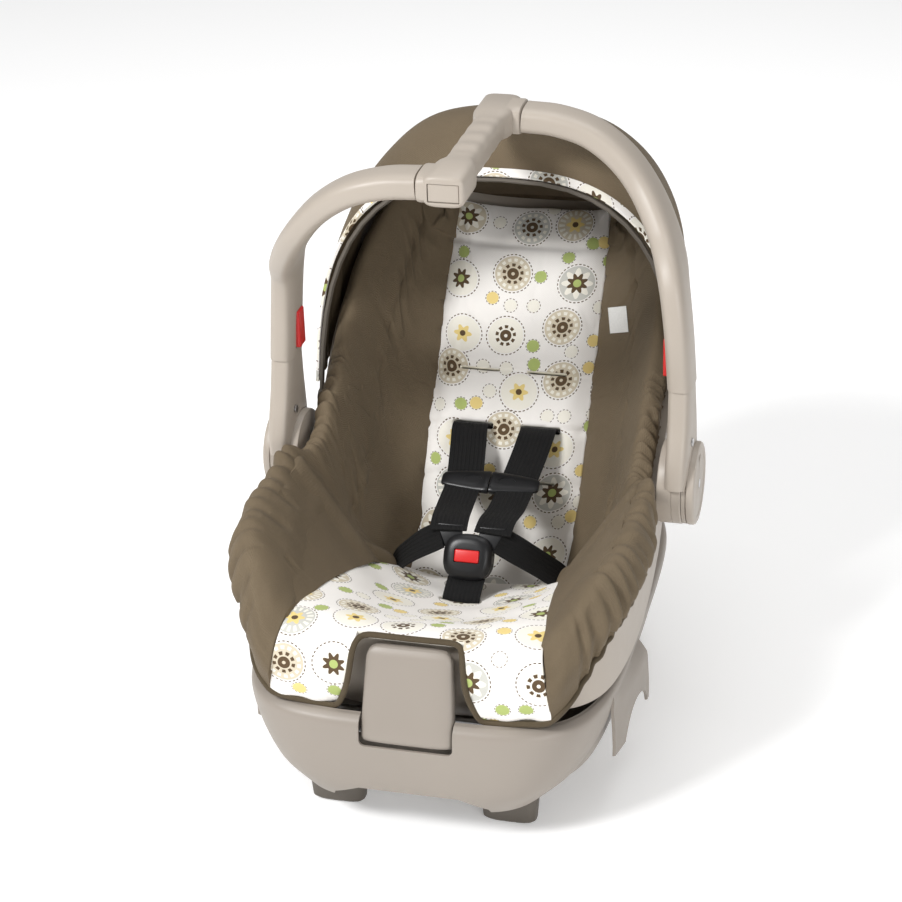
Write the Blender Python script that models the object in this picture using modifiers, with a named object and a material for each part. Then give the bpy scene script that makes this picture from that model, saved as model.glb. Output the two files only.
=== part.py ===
"""Infant car seat: rear-facing carrier with harness, canopy and Z-shaped handle, on its stay-in-car base.

Metres, +Z up, +X to the viewer's right, -Y towards the foot end. The origin is on the floor under the
handle's pivot line. Each sub-part is one named object with its own material, and the moving ones hang
from empties that stand on their joints' axes.
"""
import math

import bmesh
import bpy
from mathutils import Matrix, Vector

# Handle
HUB = Vector((0.0, 0.0, 0.237))  # the handle's pivot line, at the centre plane
HUB_RADIUS = 0.0415
DRUM_INNER_X, DRUM_OUTER_X = 0.1824, 0.2068
DISC_OUTER_X = 0.2110
COVER_OUTER_X = 0.2195
HANDLE_THICK = 0.0255            # across the bar, seen from the front
HANDLE_DEPTH = 0.0450            # along Y
HANDLE_OFFSET = 0.0980           # each crossbar's distance from the pivot plane, front or back
SLEEVE_END = 0.1070              # height of the step in each arm above the pivot line
# X, share of the crossbar offset, and height above the pivot line, from the step to the grip
ARM_PATH = ((0.2002, 0.00, 0.1073), (0.1965, 0.00, 0.160), (0.1890, 0.12, 0.205), (0.1755, 0.45, 0.2365),
            (0.1530, 0.75, 0.270), (0.1270, 0.90, 0.299), (0.0950, 0.98, 0.3205), (0.0600, 1.00, 0.3310),
            (0.0270, 1.00, 0.3335))

# Carrier shell: centre line (Y, Z) and rim (X, Y, Z) from the foot end to the head end
SHELL_WALL = 0.0030
SHELL_ROUND = 2.7                # exponent of each cross-section's curve
CENTRE_LINE = ((-0.266, 0.190), (-0.276, 0.145), (-0.260, 0.112), (-0.195, 0.098), (-0.105, 0.084),
               (-0.020, 0.070), (0.055, 0.100), (0.129, 0.200), (0.175, 0.262), (0.225, 0.330),
               (0.266, 0.386), (0.284, 0.414))
RIM_LINE = ((0.112, -0.266, 0.190), (0.141, -0.259, 0.192), (0.160, -0.232, 0.199), (0.169, -0.180, 0.210),
            (0.171, -0.110, 0.222), (0.170, -0.030, 0.238), (0.168, 0.040, 0.275), (0.168, 0.100, 0.330),
            (0.162, 0.160, 0.375), (0.148, 0.212, 0.410), (0.118, 0.252, 0.428), (0.095, 0.272, 0.434))
HANG_END, HUB_CLEAR = -0.0880, -0.0560   # Y where the bolster stops hanging outside, and clears the hub
SKIRT_OUT = 0.0115               # the outer skirt's face, outside the rim line
LINER_FROM, LINER_TO = 0.0036, 0.0072    # foam liner, distance inside the shell
PAD_FROM = 0.0126
BACK_PAD = 0.0230                # thickness of the padded back
# half width of the printed panel along the centre line, from the front edge to the head end
PANEL_HALF = ((0.00, 0.121), (0.10, 0.121), (0.20, 0.116), (0.32, 0.104), (0.47, 0.088), (0.62, 0.090), (1.00, 0.087))
# height of the seat's surface along Y, at the centre and 0.11 m to either side
SEAT_CREST = ((-0.262, 0.2020, 0.2060), (-0.250, 0.1980, 0.2090), (-0.200, 0.1740, 0.2010), (-0.150, 0.1530, 0.1860),
              (-0.100, 0.1340, 0.1660), (-0.050, 0.1180, 0.1420), (0.000, 0.1080, 0.1200))
BIGHT_S = 0.470                          # where seat and back meet, as a share of the centre line

# Harness
WEBBING, WEBBING_THICK = 0.0380, 0.0016
SLOT_X = 0.0360
SLOT_POINT = Vector((0.0, 0.0990, 0.2320))
BACK_NORMAL = Vector((0.0, -0.797, 0.605)).normalized()
BUCKLE_POINT = Vector((0.0, -0.0700, 0.1620))
BUCKLE_ALONG = Vector((0.0, 0.50, 0.866)).normalized()
CROTCH_Y = -0.1040
CLIP_POINT = Vector((0.0, 0.0305, 0.1990))

# Base
BASE_WALL = 0.0026
# height, half width, front and back of each level, from the bottom edge up and over the rim to the deck
BASE_LEVELS = ((0.0340, 0.130, -0.3060, 0.150), (0.0470, 0.1430, -0.3120, 0.160),
               (0.0600, 0.155, -0.3160, 0.165), (0.0800, 0.1660, -0.3180, 0.170), (0.1000, 0.1740, -0.3180, 0.173),
               (0.1150, 0.1780, -0.3175, 0.175), (0.1240, 0.1790, -0.3155, 0.175),
               (0.1285, 0.1770, -0.3110, 0.173), (0.1300, 0.1740, -0.3070, 0.170),
               (0.1270, 0.1725, -0.3020, 0.167), (0.0950, 0.1690, -0.2960, 0.163), (0.0600, 0.1600, -0.2880, 0.155),
               (0.0480, 0.1450, -0.2700, 0.140), (0.0460, 0.0700, -0.1500, 0.070))
BASE_SQUARE = 4.6                # exponent of the base's outline
# place, X, Y, width
FOOT_PLACES = (("front", 0.0840, -0.2600, 0.056), ("middle", 0.1060, -0.0850, 0.036),
               ("rear", 0.0720, 0.1120, 0.056))
LEVER_PIVOT = Vector((0.0, -0.3060, 0.1130))

# Canopy hoops: foot (X, Y, Z) and top (Y, Z), from the front edge to the rear edge
CANOPY_ROUND = 2.7
CANOPY_PIVOT = Vector((0.0, 0.0560, 0.2700))
BOW_X = 0.1845
HOOPS = (((0.1880, 0.060, 0.285), (0.100, 0.507)), ((0.1880, 0.078, 0.290), (0.140, 0.541)),
         ((0.1850, 0.100, 0.303), (0.185, 0.552)), ((0.1790, 0.135, 0.330), (0.240, 0.532)),
         ((0.1710, 0.168, 0.360), (0.287, 0.475)), ((0.1640, 0.190, 0.352), (0.3125, 0.405)))
CANOPY_WALL = 0.0025

COLOURS = {  # base colour, roughness, metallic
    "grey_plastic": ((0.435, 0.385, 0.330), 0.42, 0.0),
    "dark_plastic": ((0.100, 0.085, 0.068), 0.55, 0.0),
    "black_plastic": ((0.012, 0.012, 0.013), 0.35, 0.0),
    "red_plastic": ((0.700, 0.020, 0.020), 0.35, 0.0),
    "taupe_fabric": ((0.150, 0.120, 0.080), 0.90, 0.0),
    "print_fabric": ((0.860, 0.840, 0.780), 0.90, 0.0),
    "webbing": ((0.012, 0.012, 0.014), 0.75, 0.0),
    "foam": ((0.900, 0.900, 0.890), 0.95, 0.0),
    "steel": ((0.620, 0.620, 0.630), 0.30, 1.0),
}


def clear_scene():
    for thing in list(bpy.data.objects):
        bpy.data.objects.remove(thing, do_unlink=True)


def make_collections():
    parts = bpy.data.collections.new("infant_car_seat")
    cutters = bpy.data.collections.new("cutters")
    bpy.context.scene.collection.children.link(parts)
    bpy.context.scene.collection.children.link(cutters)
    cutters.hide_render = True
    return parts, cutters


def make_materials():
    made = {}
    for name, (colour, roughness, metallic) in COLOURS.items():
        material = bpy.data.materials.new(name)
        material.use_nodes = True
        shader = material.node_tree.nodes["Principled BSDF"]
        shader.inputs["Base Color"].default_value = (*colour, 1.0)
        shader.inputs["Roughness"].default_value = roughness
        shader.inputs["Metallic"].default_value = metallic
        material.diffuse_color = (*colour, 1.0)
        made[name] = material
    return made


clear_scene()
PARTS, CUTTERS = make_collections()
MATERIALS = make_materials()


# ---------------------------------------------------------------- helpers

def add_mesh(name, mesh, material, smooth=True):
    """A finished mesh as a named part."""
    thing = bpy.data.objects.new(name, mesh)
    mesh.materials.append(MATERIALS[material])
    if smooth:
        mesh.shade_smooth()
        mesh.set_sharp_from_angle(angle=math.radians(35))
    PARTS.objects.link(thing)
    return thing


def add_bmesh(name, bm, material, smooth=True):
    mesh = bpy.data.meshes.new(name)
    bmesh.ops.recalc_face_normals(bm, faces=bm.faces)
    bm.to_mesh(mesh)
    bm.free()
    return add_mesh(name, mesh, material, smooth)


def add_loft(name, rings, material, caps=True):
    """A skin over closed rings of equal length, capped at both ends."""
    bm = bmesh.new()
    rows = [[bm.verts.new(p) for p in ring] for ring in rings]
    count = len(rows[0])
    for low, high in zip(rows, rows[1:]):
        for i in range(count):
            j = (i + 1) % count
            bm.faces.new((low[i], low[j], high[j], high[i]))
    if caps:
        bm.faces.new(rows[0])
        bm.faces.new(rows[-1])
    return add_bmesh(name, bm, material)


def add_sheet(name, rows, material):
    """An open skin over rows of points."""
    bm = bmesh.new()
    grid = [[bm.verts.new(p) for p in row] for row in rows]
    for low, high in zip(grid, grid[1:]):
        for i in range(len(low) - 1):
            bm.faces.new((low[i], low[i + 1], high[i + 1], high[i]))
    mesh = bpy.data.meshes.new(name)
    bm.to_mesh(mesh)
    bm.free()
    return add_mesh(name, mesh, material)


def add_slab(name, lower, upper, material):
    """A closed solid between two grids of points of the same size."""
    bm = bmesh.new()
    bottom = [[bm.verts.new(p) for p in row] for row in lower]
    top = [[bm.verts.new(p) for p in row] for row in upper]
    rows, columns = len(lower), len(lower[0])
    for r in range(rows - 1):
        for c in range(columns - 1):
            bm.faces.new((bottom[r][c], bottom[r][c + 1], bottom[r + 1][c + 1], bottom[r + 1][c]))
            bm.faces.new((top[r][c], top[r + 1][c], top[r + 1][c + 1], top[r][c + 1]))
    around = [(0, c) for c in range(columns)] + [(r, columns - 1) for r in range(1, rows)]
    around += [(rows - 1, c) for c in range(columns - 2, -1, -1)] + [(r, 0) for r in range(rows - 2, 0, -1)]
    for (r0, c0), (r1, c1) in zip(around, around[1:] + around[:1]):
        bm.faces.new((bottom[r0][c0], top[r0][c0], top[r1][c1], bottom[r1][c1]))
    return add_bmesh(name, bm, material)


def add_box(name, centre, size, material, bevel=0.0, turn=None, segments=2):
    """A block, rounded by a Bevel modifier; turn is a rotation matrix."""
    bm = bmesh.new()
    bmesh.ops.create_cube(bm, size=1.0, matrix=Matrix.Diagonal((*size, 1.0)))
    thing = add_bmesh(name, bm, material)
    thing.matrix_world = Matrix.Translation(centre) @ (turn.to_4x4() if turn else Matrix())
    if bevel:
        edge = thing.modifiers.new("rounded", "BEVEL")
        edge.width = bevel
        edge.segments = segments
        edge.limit_method = "NONE"
    return thing


def add_cylinder(name, centre, radius, length, material, bevel=0.0, sides=32):
    """A round bar along X."""
    bm = bmesh.new()
    bmesh.ops.create_cone(bm, cap_ends=True, segments=sides, radius1=radius, radius2=radius, depth=length)
    bmesh.ops.transform(bm, matrix=Matrix.Rotation(math.pi / 2, 4, "Y"), verts=bm.verts)
    thing = add_bmesh(name, bm, material)
    thing.location = centre
    if bevel:
        edge = thing.modifiers.new("rounded", "BEVEL")
        edge.width = bevel
        edge.segments = 2
        edge.limit_method = "ANGLE"
    return thing


def add_tube(name, points, radius, material, resolution=2):
    """A round wire or bar along a list of points."""
    curve = bpy.data.curves.new(name, "CURVE")
    curve.dimensions = "3D"
    curve.bevel_depth = radius
    curve.bevel_resolution = resolution
    curve.use_fill_caps = True
    spline = curve.splines.new("POLY")
    spline.points.add(len(points) - 1)
    for target, point in zip(spline.points, points):
        target.co = (*point, 1.0)
    curve.materials.append(MATERIALS[material])
    thing = bpy.data.objects.new(name, curve)
    PARTS.objects.link(thing)
    return thing


def as_cutter(thing):
    PARTS.objects.unlink(thing)
    CUTTERS.objects.link(thing)
    thing.hide_render = True
    thing.display_type = "WIRE"
    return thing


def combine(target, others, operation="DIFFERENCE"):
    """Cuts each of the others from the target, or joins them to it."""
    for other in others:
        joint = target.modifiers.new(other.name, "BOOLEAN")
        joint.operation = operation
        joint.solver = "EXACT"
        joint.object = other
        if PARTS.objects.get(other.name) is other:
            as_cutter(other)


def solidify(thing, thickness, offset):
    skin = thing.modifiers.new("wall", "SOLIDIFY")
    skin.thickness = thickness
    skin.offset = offset
    skin.use_even_offset = True


def smooth_path(points, count):
    """Evenly counted points on a Catmull-Rom curve through the given points."""
    points = [Vector(p) for p in points]
    ends = [2 * points[0] - points[1]] + points + [2 * points[-1] - points[-2]]
    spans = len(points) - 1
    made = []
    for k in range(count):
        at = k * spans / (count - 1)
        i = min(int(at), spans - 1)
        t = at - i
        a, b, c, d = ends[i:i + 4]
        made.append(0.5 * ((2 * b) + (c - a) * t + (2 * a - 5 * b + 4 * c - d) * t * t
                           + (3 * b - 3 * c + d - a) * t * t * t))
    return made


def rounded_ring(half_a, half_b, power, count):
    """Offsets (a, b) round a rounded rectangle."""
    ring = []
    for k in range(count):
        angle = 2 * math.pi * k / count
        c, s = math.cos(angle), math.sin(angle)
        ring.append((half_a * math.copysign(abs(c) ** (2 / power), c),
                     half_b * math.copysign(abs(s) ** (2 / power), s)))
    return ring


def mirrored(point, side):
    return Vector((side * point[0], point[1], point[2]))


SIDES = (("left", -1), ("right", 1))

# ---------------------------------------------------------------- carrier shell

CENTRE_POINTS = smooth_path([(0.0, y, z) for y, z in CENTRE_LINE], 401)
RIM_POINTS = smooth_path(RIM_LINE, 401)


def on_line(points, s):
    """The point at share s of a finely sampled line."""
    index = max(0.0, min(1.0, s)) * 400
    low = min(int(index), 399)
    return points[low].lerp(points[low + 1], index - low)


def section_point(s, t):
    """A point on the shell's inner surface; t runs from -1 at the left rim to 1 at the right rim."""
    centre, rim = on_line(CENTRE_POINTS, s), on_line(RIM_POINTS, s)
    angle = abs(t) * math.pi / 2
    across = math.sin(angle) ** (2 / SHELL_ROUND)
    up = 1 - math.cos(angle) ** (2 / SHELL_ROUND)
    point = centre.lerp(rim, up)
    return Vector((math.copysign(rim.x * across, t), point.y, point.z))


def shell_point(s, t, inside=0.0):
    """A point at a distance inside the shell's inner surface."""
    if not inside:
        return section_point(s, t)
    step = 0.02
    t = max(-0.99, min(0.99, t))
    along = section_point(s + step, t) - section_point(s - step, t)
    over = section_point(s, min(0.999, t + step)) - section_point(s, max(-0.999, t - step))
    return section_point(s, t) + over.cross(along).normalized() * inside


def shell_grid(s_range, span, rows, columns, inside):
    """Rows of points over a patch of the shell. span gives the patch's share of each section at a
    row share u; inside gives the depth at row share u and column share v."""
    grid = []
    for r in range(rows):
        u = r / (rows - 1)
        s = s_range[0] + (s_range[1] - s_range[0]) * u
        line = []
        for c in range(columns):
            v = c / (columns - 1)
            line.append(shell_point(s, span(u) * (2 * v - 1), inside(u, v)))
        grid.append(line)
    return grid


def share_at(table, x):
    """Linear look-up: the row of values at x in a table whose first column rises."""
    for low, high in zip(table, table[1:]):
        if x <= high[0]:
            part = max(0.0, (x - low[0]) / (high[0] - low[0]))
            return [a + (b - a) * part for a, b in zip(low[1:], high[1:])]
    return list(table[-1][1:])


def panel_edge(s, beyond=0.0):
    """The section share at which the printed panel ends."""
    rim = on_line(RIM_POINTS, s)
    part = min(0.93, (share_at(PANEL_HALF, s)[0] + beyond) / rim.x)
    return math.asin(part ** (SHELL_ROUND / 2)) * 2 / math.pi


def seat_height(x, y):
    centre, side = share_at(SEAT_CREST, y)
    return centre + (side - centre) * (x / 0.11) ** 2


def level(depth):
    return lambda u, v: depth


def rim_out(s, side):
    """The rim point and its outward direction in plan."""
    rim = on_line(RIM_POINTS, s)
    along = on_line(RIM_POINTS, s + 0.02) - on_line(RIM_POINTS, s - 0.02)
    out = Vector((along.y, -along.x, 0)).normalized()
    return mirrored(rim, side), mirrored(out, side)


def build_skirt(name, side):
    """The outer skirt along one side: it hangs from the rim and hides the tub's wall."""
    rings = []
    for k in range(13):
        s = 0.165 + 0.735 * k / 12
        rim, out = rim_out(s, side)
        bottom = max(rim.z - 0.085, 0.137) if rim.y < 0.0 else rim.z - 0.085 + 0.35 * rim.y
        up = Vector((0, 0, 1))
        thick = SHELL_WALL
        ring = [rim + out * 0.0010, rim + out * SKIRT_OUT]
        foot = rim + out * SKIRT_OUT
        foot.z = bottom
        ring += [foot, foot - out * thick]
        ring += [rim + out * (SKIRT_OUT - thick) - up * thick, rim + out * 0.0010 - up * thick]
        rings.append(ring)
    return add_loft(f"skirt_{name}", rings, "grey_plastic")


def build_carrier_shell():
    rows = shell_grid((0, 1), lambda u: 1.0, 23, 17, level(0))
    shell = add_sheet("carrier_shell", rows, "grey_plastic")
    solidify(shell, SHELL_WALL, -1.0)
    combine(shell, [build_skirt(name, side) for name, side in SIDES], "UNION")
    return shell


def build_foam_liner():
    rows, columns = 15, 9
    def wide(u):
        return 0.60
    lower = shell_grid((0.10, 0.95), wide, rows, columns, level(LINER_FROM))
    upper = shell_grid((0.10, 0.95), wide, rows, columns, level(LINER_TO))
    return add_slab("foam_liner", lower, upper, "foam")


# ---------------------------------------------------------------- padded cover

def crown(thickness, edge=0.40):
    """A cushion's depth: full in the middle, thinner at its edges."""
    def depth(u, v):
        fall = min(1.0, 4.5 * min(u, 1 - u, v, 1 - v))
        return PAD_FROM + thickness * (edge + (1 - edge) * math.sin(fall * math.pi / 2))
    return depth


def panel_grid(s_range, rows, columns, inside):
    """A patch of the shell as wide as the printed panel."""
    def span(u):
        return panel_edge(s_range[0] + (s_range[1] - s_range[0]) * u)
    return shell_grid(s_range, span, rows, columns, inside)


def build_back():
    place = (BIGHT_S + 0.020, 0.955)
    return add_slab("cover_back", panel_grid(place, 13, 9, level(PAD_FROM)), panel_grid(place, 13, 9, crown(BACK_PAD)),
                    "print_fabric")


def build_seat():
    """The seat cushion: it rises to the front edge and to its two sides."""
    lower = panel_grid((0.105, BIGHT_S - 0.020), 10, 9, level(PAD_FROM))
    upper = []
    for r, row in enumerate(lower):
        fall = min(1.0, 0.45 + 2.5 * min(r, len(lower) - 1 - r) / len(lower)) if r > 4 else 1.0
        line = []
        for point in row:
            top = seat_height(point.x, point.y)
            line.append(Vector((point.x * 0.985, point.y, max(point.z + 0.010, point.z + (top - point.z) * fall))))
        upper.append(line)
    return add_slab("cover_seat", lower, upper, "print_fabric")


def hook_section(s, side):
    """A ring over the rim: down the inside of the wall, and a little way down the skirt's outside."""
    inner = panel_edge(s, 0.004)
    seam = 0.0
    if s < BIGHT_S - 0.06:
        edge = shell_point(s, inner, PAD_FROM)
        seam = max(0.0, seat_height(edge.x, edge.y) - edge.z - 0.020)
    rim, out = rim_out(s, side)
    steps = 5
    ring = []
    for k in range(steps):
        t = 0.93 - (0.93 - inner) * k / (steps - 1)
        ring.append(shell_point(s, side * t, PAD_FROM if t < 0.75 else 0.0030))
    for k in range(steps):
        part = k / (steps - 1)
        t = inner + 0.01 + (0.93 - inner) * part
        point = shell_point(s, side * t, PAD_FROM + 0.030 * math.sin(math.pi * (0.14 + 0.60 * part)))
        point.z += seam * (1 - part)
        ring.append(point)
    face = SKIRT_OUT + 0.0022
    if rim.y < HANG_END:
        ring += hem_points(rim, out, 0.0330, 0.040, -0.0180, face)
    elif rim.y < HUB_CLEAR:
        ring += hem_points(rim, out, 0.0200, 0.036, 0.0038, face)
    else:
        ring += hem_points(rim, out, 0.0060, 0.022, 0.0038, 0.0030)
    ring.append(rim + Vector((0, 0, 0.0012)) - out * 0.0050)
    return ring


def hem_points(rim, out, widest, rise, hem, face):
    """The bolster's crown and its outer side, down to the hem."""
    places = ((rise, -0.012), (rise * 0.85, widest * 0.6), (rise * 0.35, widest), (hem, min(widest, face + 0.007)),
              (hem, face), (0.0026, face))
    return [rim + Vector((0, 0, high)) + out * wide for high, wide in places]


def rim_share(y):
    """The share of the rim line at which it reaches this Y."""
    return min(range(401), key=lambda k: abs(RIM_POINTS[k].y - y)) / 400


def build_bolster(name, side):
    """One side's bolster, hooked over the rim; it hangs down the outside only in front of the hub."""
    front, back = rim_share(HANG_END - 0.003), rim_share(-0.020)
    stations = [0.135 + (front - 0.135) * k / 5 for k in range(6)]
    stations += [rim_share(HUB_CLEAR - 0.004), rim_share(HUB_CLEAR + 0.004)]
    stations += [back + (0.925 - back) * k / 10 for k in range(11)]
    rings = [hook_section(s, side) for s in stations]
    return add_loft(f"cover_bolster_{name}", rings, "taupe_fabric")


def build_front_flap():
    """The cover's front edge, which hangs over the carrier's front wall and is notched for the lever."""
    under, over = SHELL_WALL + 0.0016, SHELL_WALL + 0.0120
    lower = shell_grid((-0.012, 0.122), lambda u: 0.90, 6, 17, level(-under))
    upper = shell_grid((-0.012, 0.122), lambda u: 0.90, 6, 17, level(-over))
    flap = add_slab("cover_front_flap", lower, upper, "print_fabric")
    notch = add_box("notch_cutter", (0, -0.290, 0.1480), (0.100, 0.080, 0.080), "steel", bevel=0.012)
    combine(flap, [notch])
    return flap


# ---------------------------------------------------------------- harness

def add_strap(name, points, wide=Vector((1, 0, 0)), width=WEBBING, thick=WEBBING_THICK, count=None):
    """A flat strap along a path; wide is the direction of its width, or one for each point."""
    path = smooth_path(points, count or 3 * len(points))
    widths = wide if isinstance(wide, (list, tuple)) else [wide] * len(points)
    widths = smooth_path(widths, len(path))
    rings = []
    for k, point in enumerate(path):
        along = (path[min(k + 1, len(path) - 1)] - path[max(k - 1, 0)]).normalized()
        across = widths[k] - along * widths[k].dot(along)
        across.normalize()
        normal = along.cross(across)
        rings.append([point + across * a * width / 2 + normal * b * thick / 2
                      for a, b in ((-1, -1), (1, -1), (1, 1), (-1, 1))])
    return add_loft(name, rings, "webbing")


def frame_turn(along, normal):
    """A rotation whose Y axis runs along a part and whose Z axis is its face's normal."""
    return Matrix((along.cross(normal), along, normal)).transposed()


BUCKLE_NORMAL = Vector((0, -BUCKLE_ALONG.z, BUCKLE_ALONG.y))
BUCKLE_TURN = frame_turn(BUCKLE_ALONG, BUCKLE_NORMAL)
BACK_ALONG = Vector((0, BACK_NORMAL.z, -BACK_NORMAL.y))
BACK_TURN = frame_turn(BACK_ALONG, BACK_NORMAL)
BIGHT_POINT = section_point(BIGHT_S, 0.0)


def buckle_place(x, along, out):
    return BUCKLE_POINT + Vector((x, 0, 0)) + BUCKLE_ALONG * along + BUCKLE_NORMAL * out


def build_shoulder_strap(name, side):
    """From the splitter plate through the slot in the back, over the chest clip, to the buckle tongue."""
    slot = SLOT_POINT + Vector((side * SLOT_X, 0, 0))
    points = [slot - BACK_NORMAL * 0.0480, slot - BACK_NORMAL * 0.0200, slot - BACK_NORMAL * 0.0020,
              slot + BACK_NORMAL * 0.0050 - BACK_ALONG * 0.0070,
              Vector((side * 0.0330, 0.0700, 0.2170)), CLIP_POINT + Vector((side * 0.0280, 0, 0)),
              Vector((side * 0.0270, -0.0150, 0.1850)), buckle_place(side * 0.0220, 0.0420, 0)]
    return add_strap(f"shoulder_strap_{name}", points)


def build_lap_strap(name, side):
    """From the buckle tongue to the hip, down through the gap between seat and back."""
    down = BIGHT_POINT + Vector((side * 0.0700, 0, 0))
    points = [buckle_place(side * 0.0415, 0.0280, 0), Vector((side * 0.0560, -0.0480, 0.1560)),
              Vector((side * 0.0680, -0.0200, 0.1220)), down + Vector((0, 0, 0.0250)), down - Vector((0, 0, 0.0070))]
    wide = [BUCKLE_ALONG, Vector((side * 0.6, 0.5, 0.5)), Vector((1, 0, 0)), Vector((1, 0, 0)), Vector((1, 0, 0))]
    if side < 0:
        wide = [BUCKLE_ALONG * -1, Vector((0.6, -0.5, -0.5)), Vector((1, 0, 0)), Vector((1, 0, 0)), Vector((1, 0, 0))]
    return add_strap(f"lap_strap_{name}", points, wide, width=0.0280)


def build_harness():
    cutters = []
    for name, side in SIDES:
        build_shoulder_strap(name, side)
        build_lap_strap(name, side)
        slot = SLOT_POINT + Vector((side * SLOT_X, 0, 0)) - BACK_NORMAL * 0.0200
        cutters.append(add_box(f"shoulder_slot_{name}", slot, (0.0430, 0.0070, 0.0900), "steel", turn=BACK_TURN))
        hip = BIGHT_POINT + Vector((side * 0.0700, 0, 0))
        cutters.append(add_box(f"hip_slot_{name}", hip, (0.0400, 0.0080, 0.0500), "steel"))
        add_box(f"hip_anchor_{name}", hip - Vector((0, 0, 0.0090)), (0.0440, 0.0140, 0.0020), "steel", bevel=0.0006,
                segments=1)
        add_box(f"buckle_tongue_{name}", buckle_place(side * 0.0220, 0.0270, 0.0), (0.0290, 0.0260, 0.0024),
                "black_plastic", bevel=0.0008, turn=BUCKLE_TURN, segments=1)
    crotch = Vector((0, CROTCH_Y, 0.1000))
    cutters.append(add_box("crotch_slot", crotch, (0.0430, 0.0080, 0.0900), "steel"))
    points = [Vector((0, CROTCH_Y, 0.0760)), Vector((0, CROTCH_Y, 0.1180)), Vector((0, CROTCH_Y + 0.0006, 0.1350)),
              Vector((0, CROTCH_Y + 0.0085, 0.1420)), buckle_place(0, -0.0205, 0)]
    add_strap("crotch_strap", points)
    behind = SLOT_POINT - BACK_NORMAL * 0.0500
    add_box("splitter_plate", behind, (0.1200, 0.0240, 0.0020), "steel", bevel=0.0006, turn=BACK_TURN, segments=1)
    return cutters


def build_adjuster():
    """The strap under the shell from the splitter plate to the adjuster at the foot end."""
    strap = [SLOT_POINT - BACK_NORMAL * 0.0525]
    for s in (0.64, 0.57, 0.50, 0.44, 0.36, 0.28, 0.22):
        outer = section_point(s, 0.0) + shell_normal(s) * -(SHELL_WALL + 0.0085)
        strap.append(outer)
    add_strap("adjuster_strap", strap, width=0.0250, count=26)
    place = section_point(0.18, 0.0) + shell_normal(0.18) * -(SHELL_WALL + 0.0090)
    turn = frame_turn((section_point(0.20, 0) - section_point(0.17, 0)).normalized(), shell_normal(0.185))
    add_box("harness_adjuster", place, (0.0400, 0.0240, 0.0140), "dark_plastic", bevel=0.0015, turn=turn)


def shell_normal(s):
    return (shell_point(s, 0.0, 0.01) - section_point(s, 0.0)).normalized()


def build_buckle():
    """Buckle body with its red button and spring."""
    body = add_box("buckle_body", buckle_place(0, 0.0050, 0), (0.0500, 0.0480, 0.0200), "black_plastic", bevel=0.0075,
                   turn=BUCKLE_TURN, segments=3)
    well = add_box("button_well", buckle_place(0, 0.0060, 0.0070), (0.0260, 0.0166, 0.0180), "steel",
                   turn=BUCKLE_TURN)
    mouth = add_box("tongue_mouth", buckle_place(0, 0.0220, 0), (0.0600, 0.0260, 0.0036), "steel", turn=BUCKLE_TURN)
    combine(body, [well, mouth])
    add_box("buckle_button", buckle_place(0, 0.0060, 0.0072), (0.0252, 0.0158, 0.0070), "red_plastic", bevel=0.0010,
            turn=BUCKLE_TURN)
    turns, steps = 3, 8
    coil = []
    for k in range(turns * steps + 1):
        angle = 2 * math.pi * k / steps
        height = -0.0014 + 0.0043 * k / (turns * steps)
        coil.append(buckle_place(0.0040 * math.cos(angle), 0.0060 + 0.0040 * math.sin(angle), height))
    add_tube("button_spring", coil, 0.0005, "steel", resolution=1)


def build_chest_clip():
    """Two halves that meet over the breast bone."""
    along = Vector((0, 0.93, 0.36)).normalized()
    normal = Vector((0, -along.z, along.y))
    turn = frame_turn(along, normal)
    for name, side in SIDES:
        centre = CLIP_POINT + Vector((side * 0.0257, 0, 0)) + normal * 0.0010
        half = add_box(f"chest_clip_{name}", centre, (0.0500, 0.0280, 0.0090), "black_plastic", bevel=0.0035,
                       turn=turn)
        slit = add_box(f"clip_slit_{name}", centre - normal * 0.0010 + Vector((side * 0.0020, 0, 0)),
                       (0.0420, 0.0500, 0.0036), "steel", turn=turn)
        combine(half, [slit])


# ---------------------------------------------------------------- handle

def handle_ring(centre, along, half_thick, half_depth, count=14, power=3.2):
    """A section of the handle bar: its depth stays along Y."""
    across = along.cross(Vector((0, 1, 0))).normalized()
    deep = across.cross(along).normalized()
    return [centre + across * a + deep * b for a, b in rounded_ring(half_thick, half_depth, power, count)]


def build_handle_arm(name, side):
    points = [Vector((side * x, side * HANDLE_OFFSET * share, HUB.z + h)) for x, share, h in ARM_PATH]
    path = smooth_path(points, 19)
    rings = []
    for k, point in enumerate(path):
        along = (path[min(k + 1, len(path) - 1)] - path[max(k - 1, 0)]).normalized()
        if k == 0:
            along = Vector((0, 0, 1))
        depth = HANDLE_DEPTH * (1.10 - 0.12 * k / (len(path) - 1))
        rings.append(handle_ring(point, along, HANDLE_THICK / 2, depth / 2))
    arm = add_loft(f"handle_arm_{name}", rings, "grey_plastic")
    pocket = add_box(f"lever_pocket_{name}", (side * 0.1880, 0.002, HUB.z + 0.1350), (0.0170, 0.0192, 0.0402), "steel")
    combine(arm, [pocket])
    return arm


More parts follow.
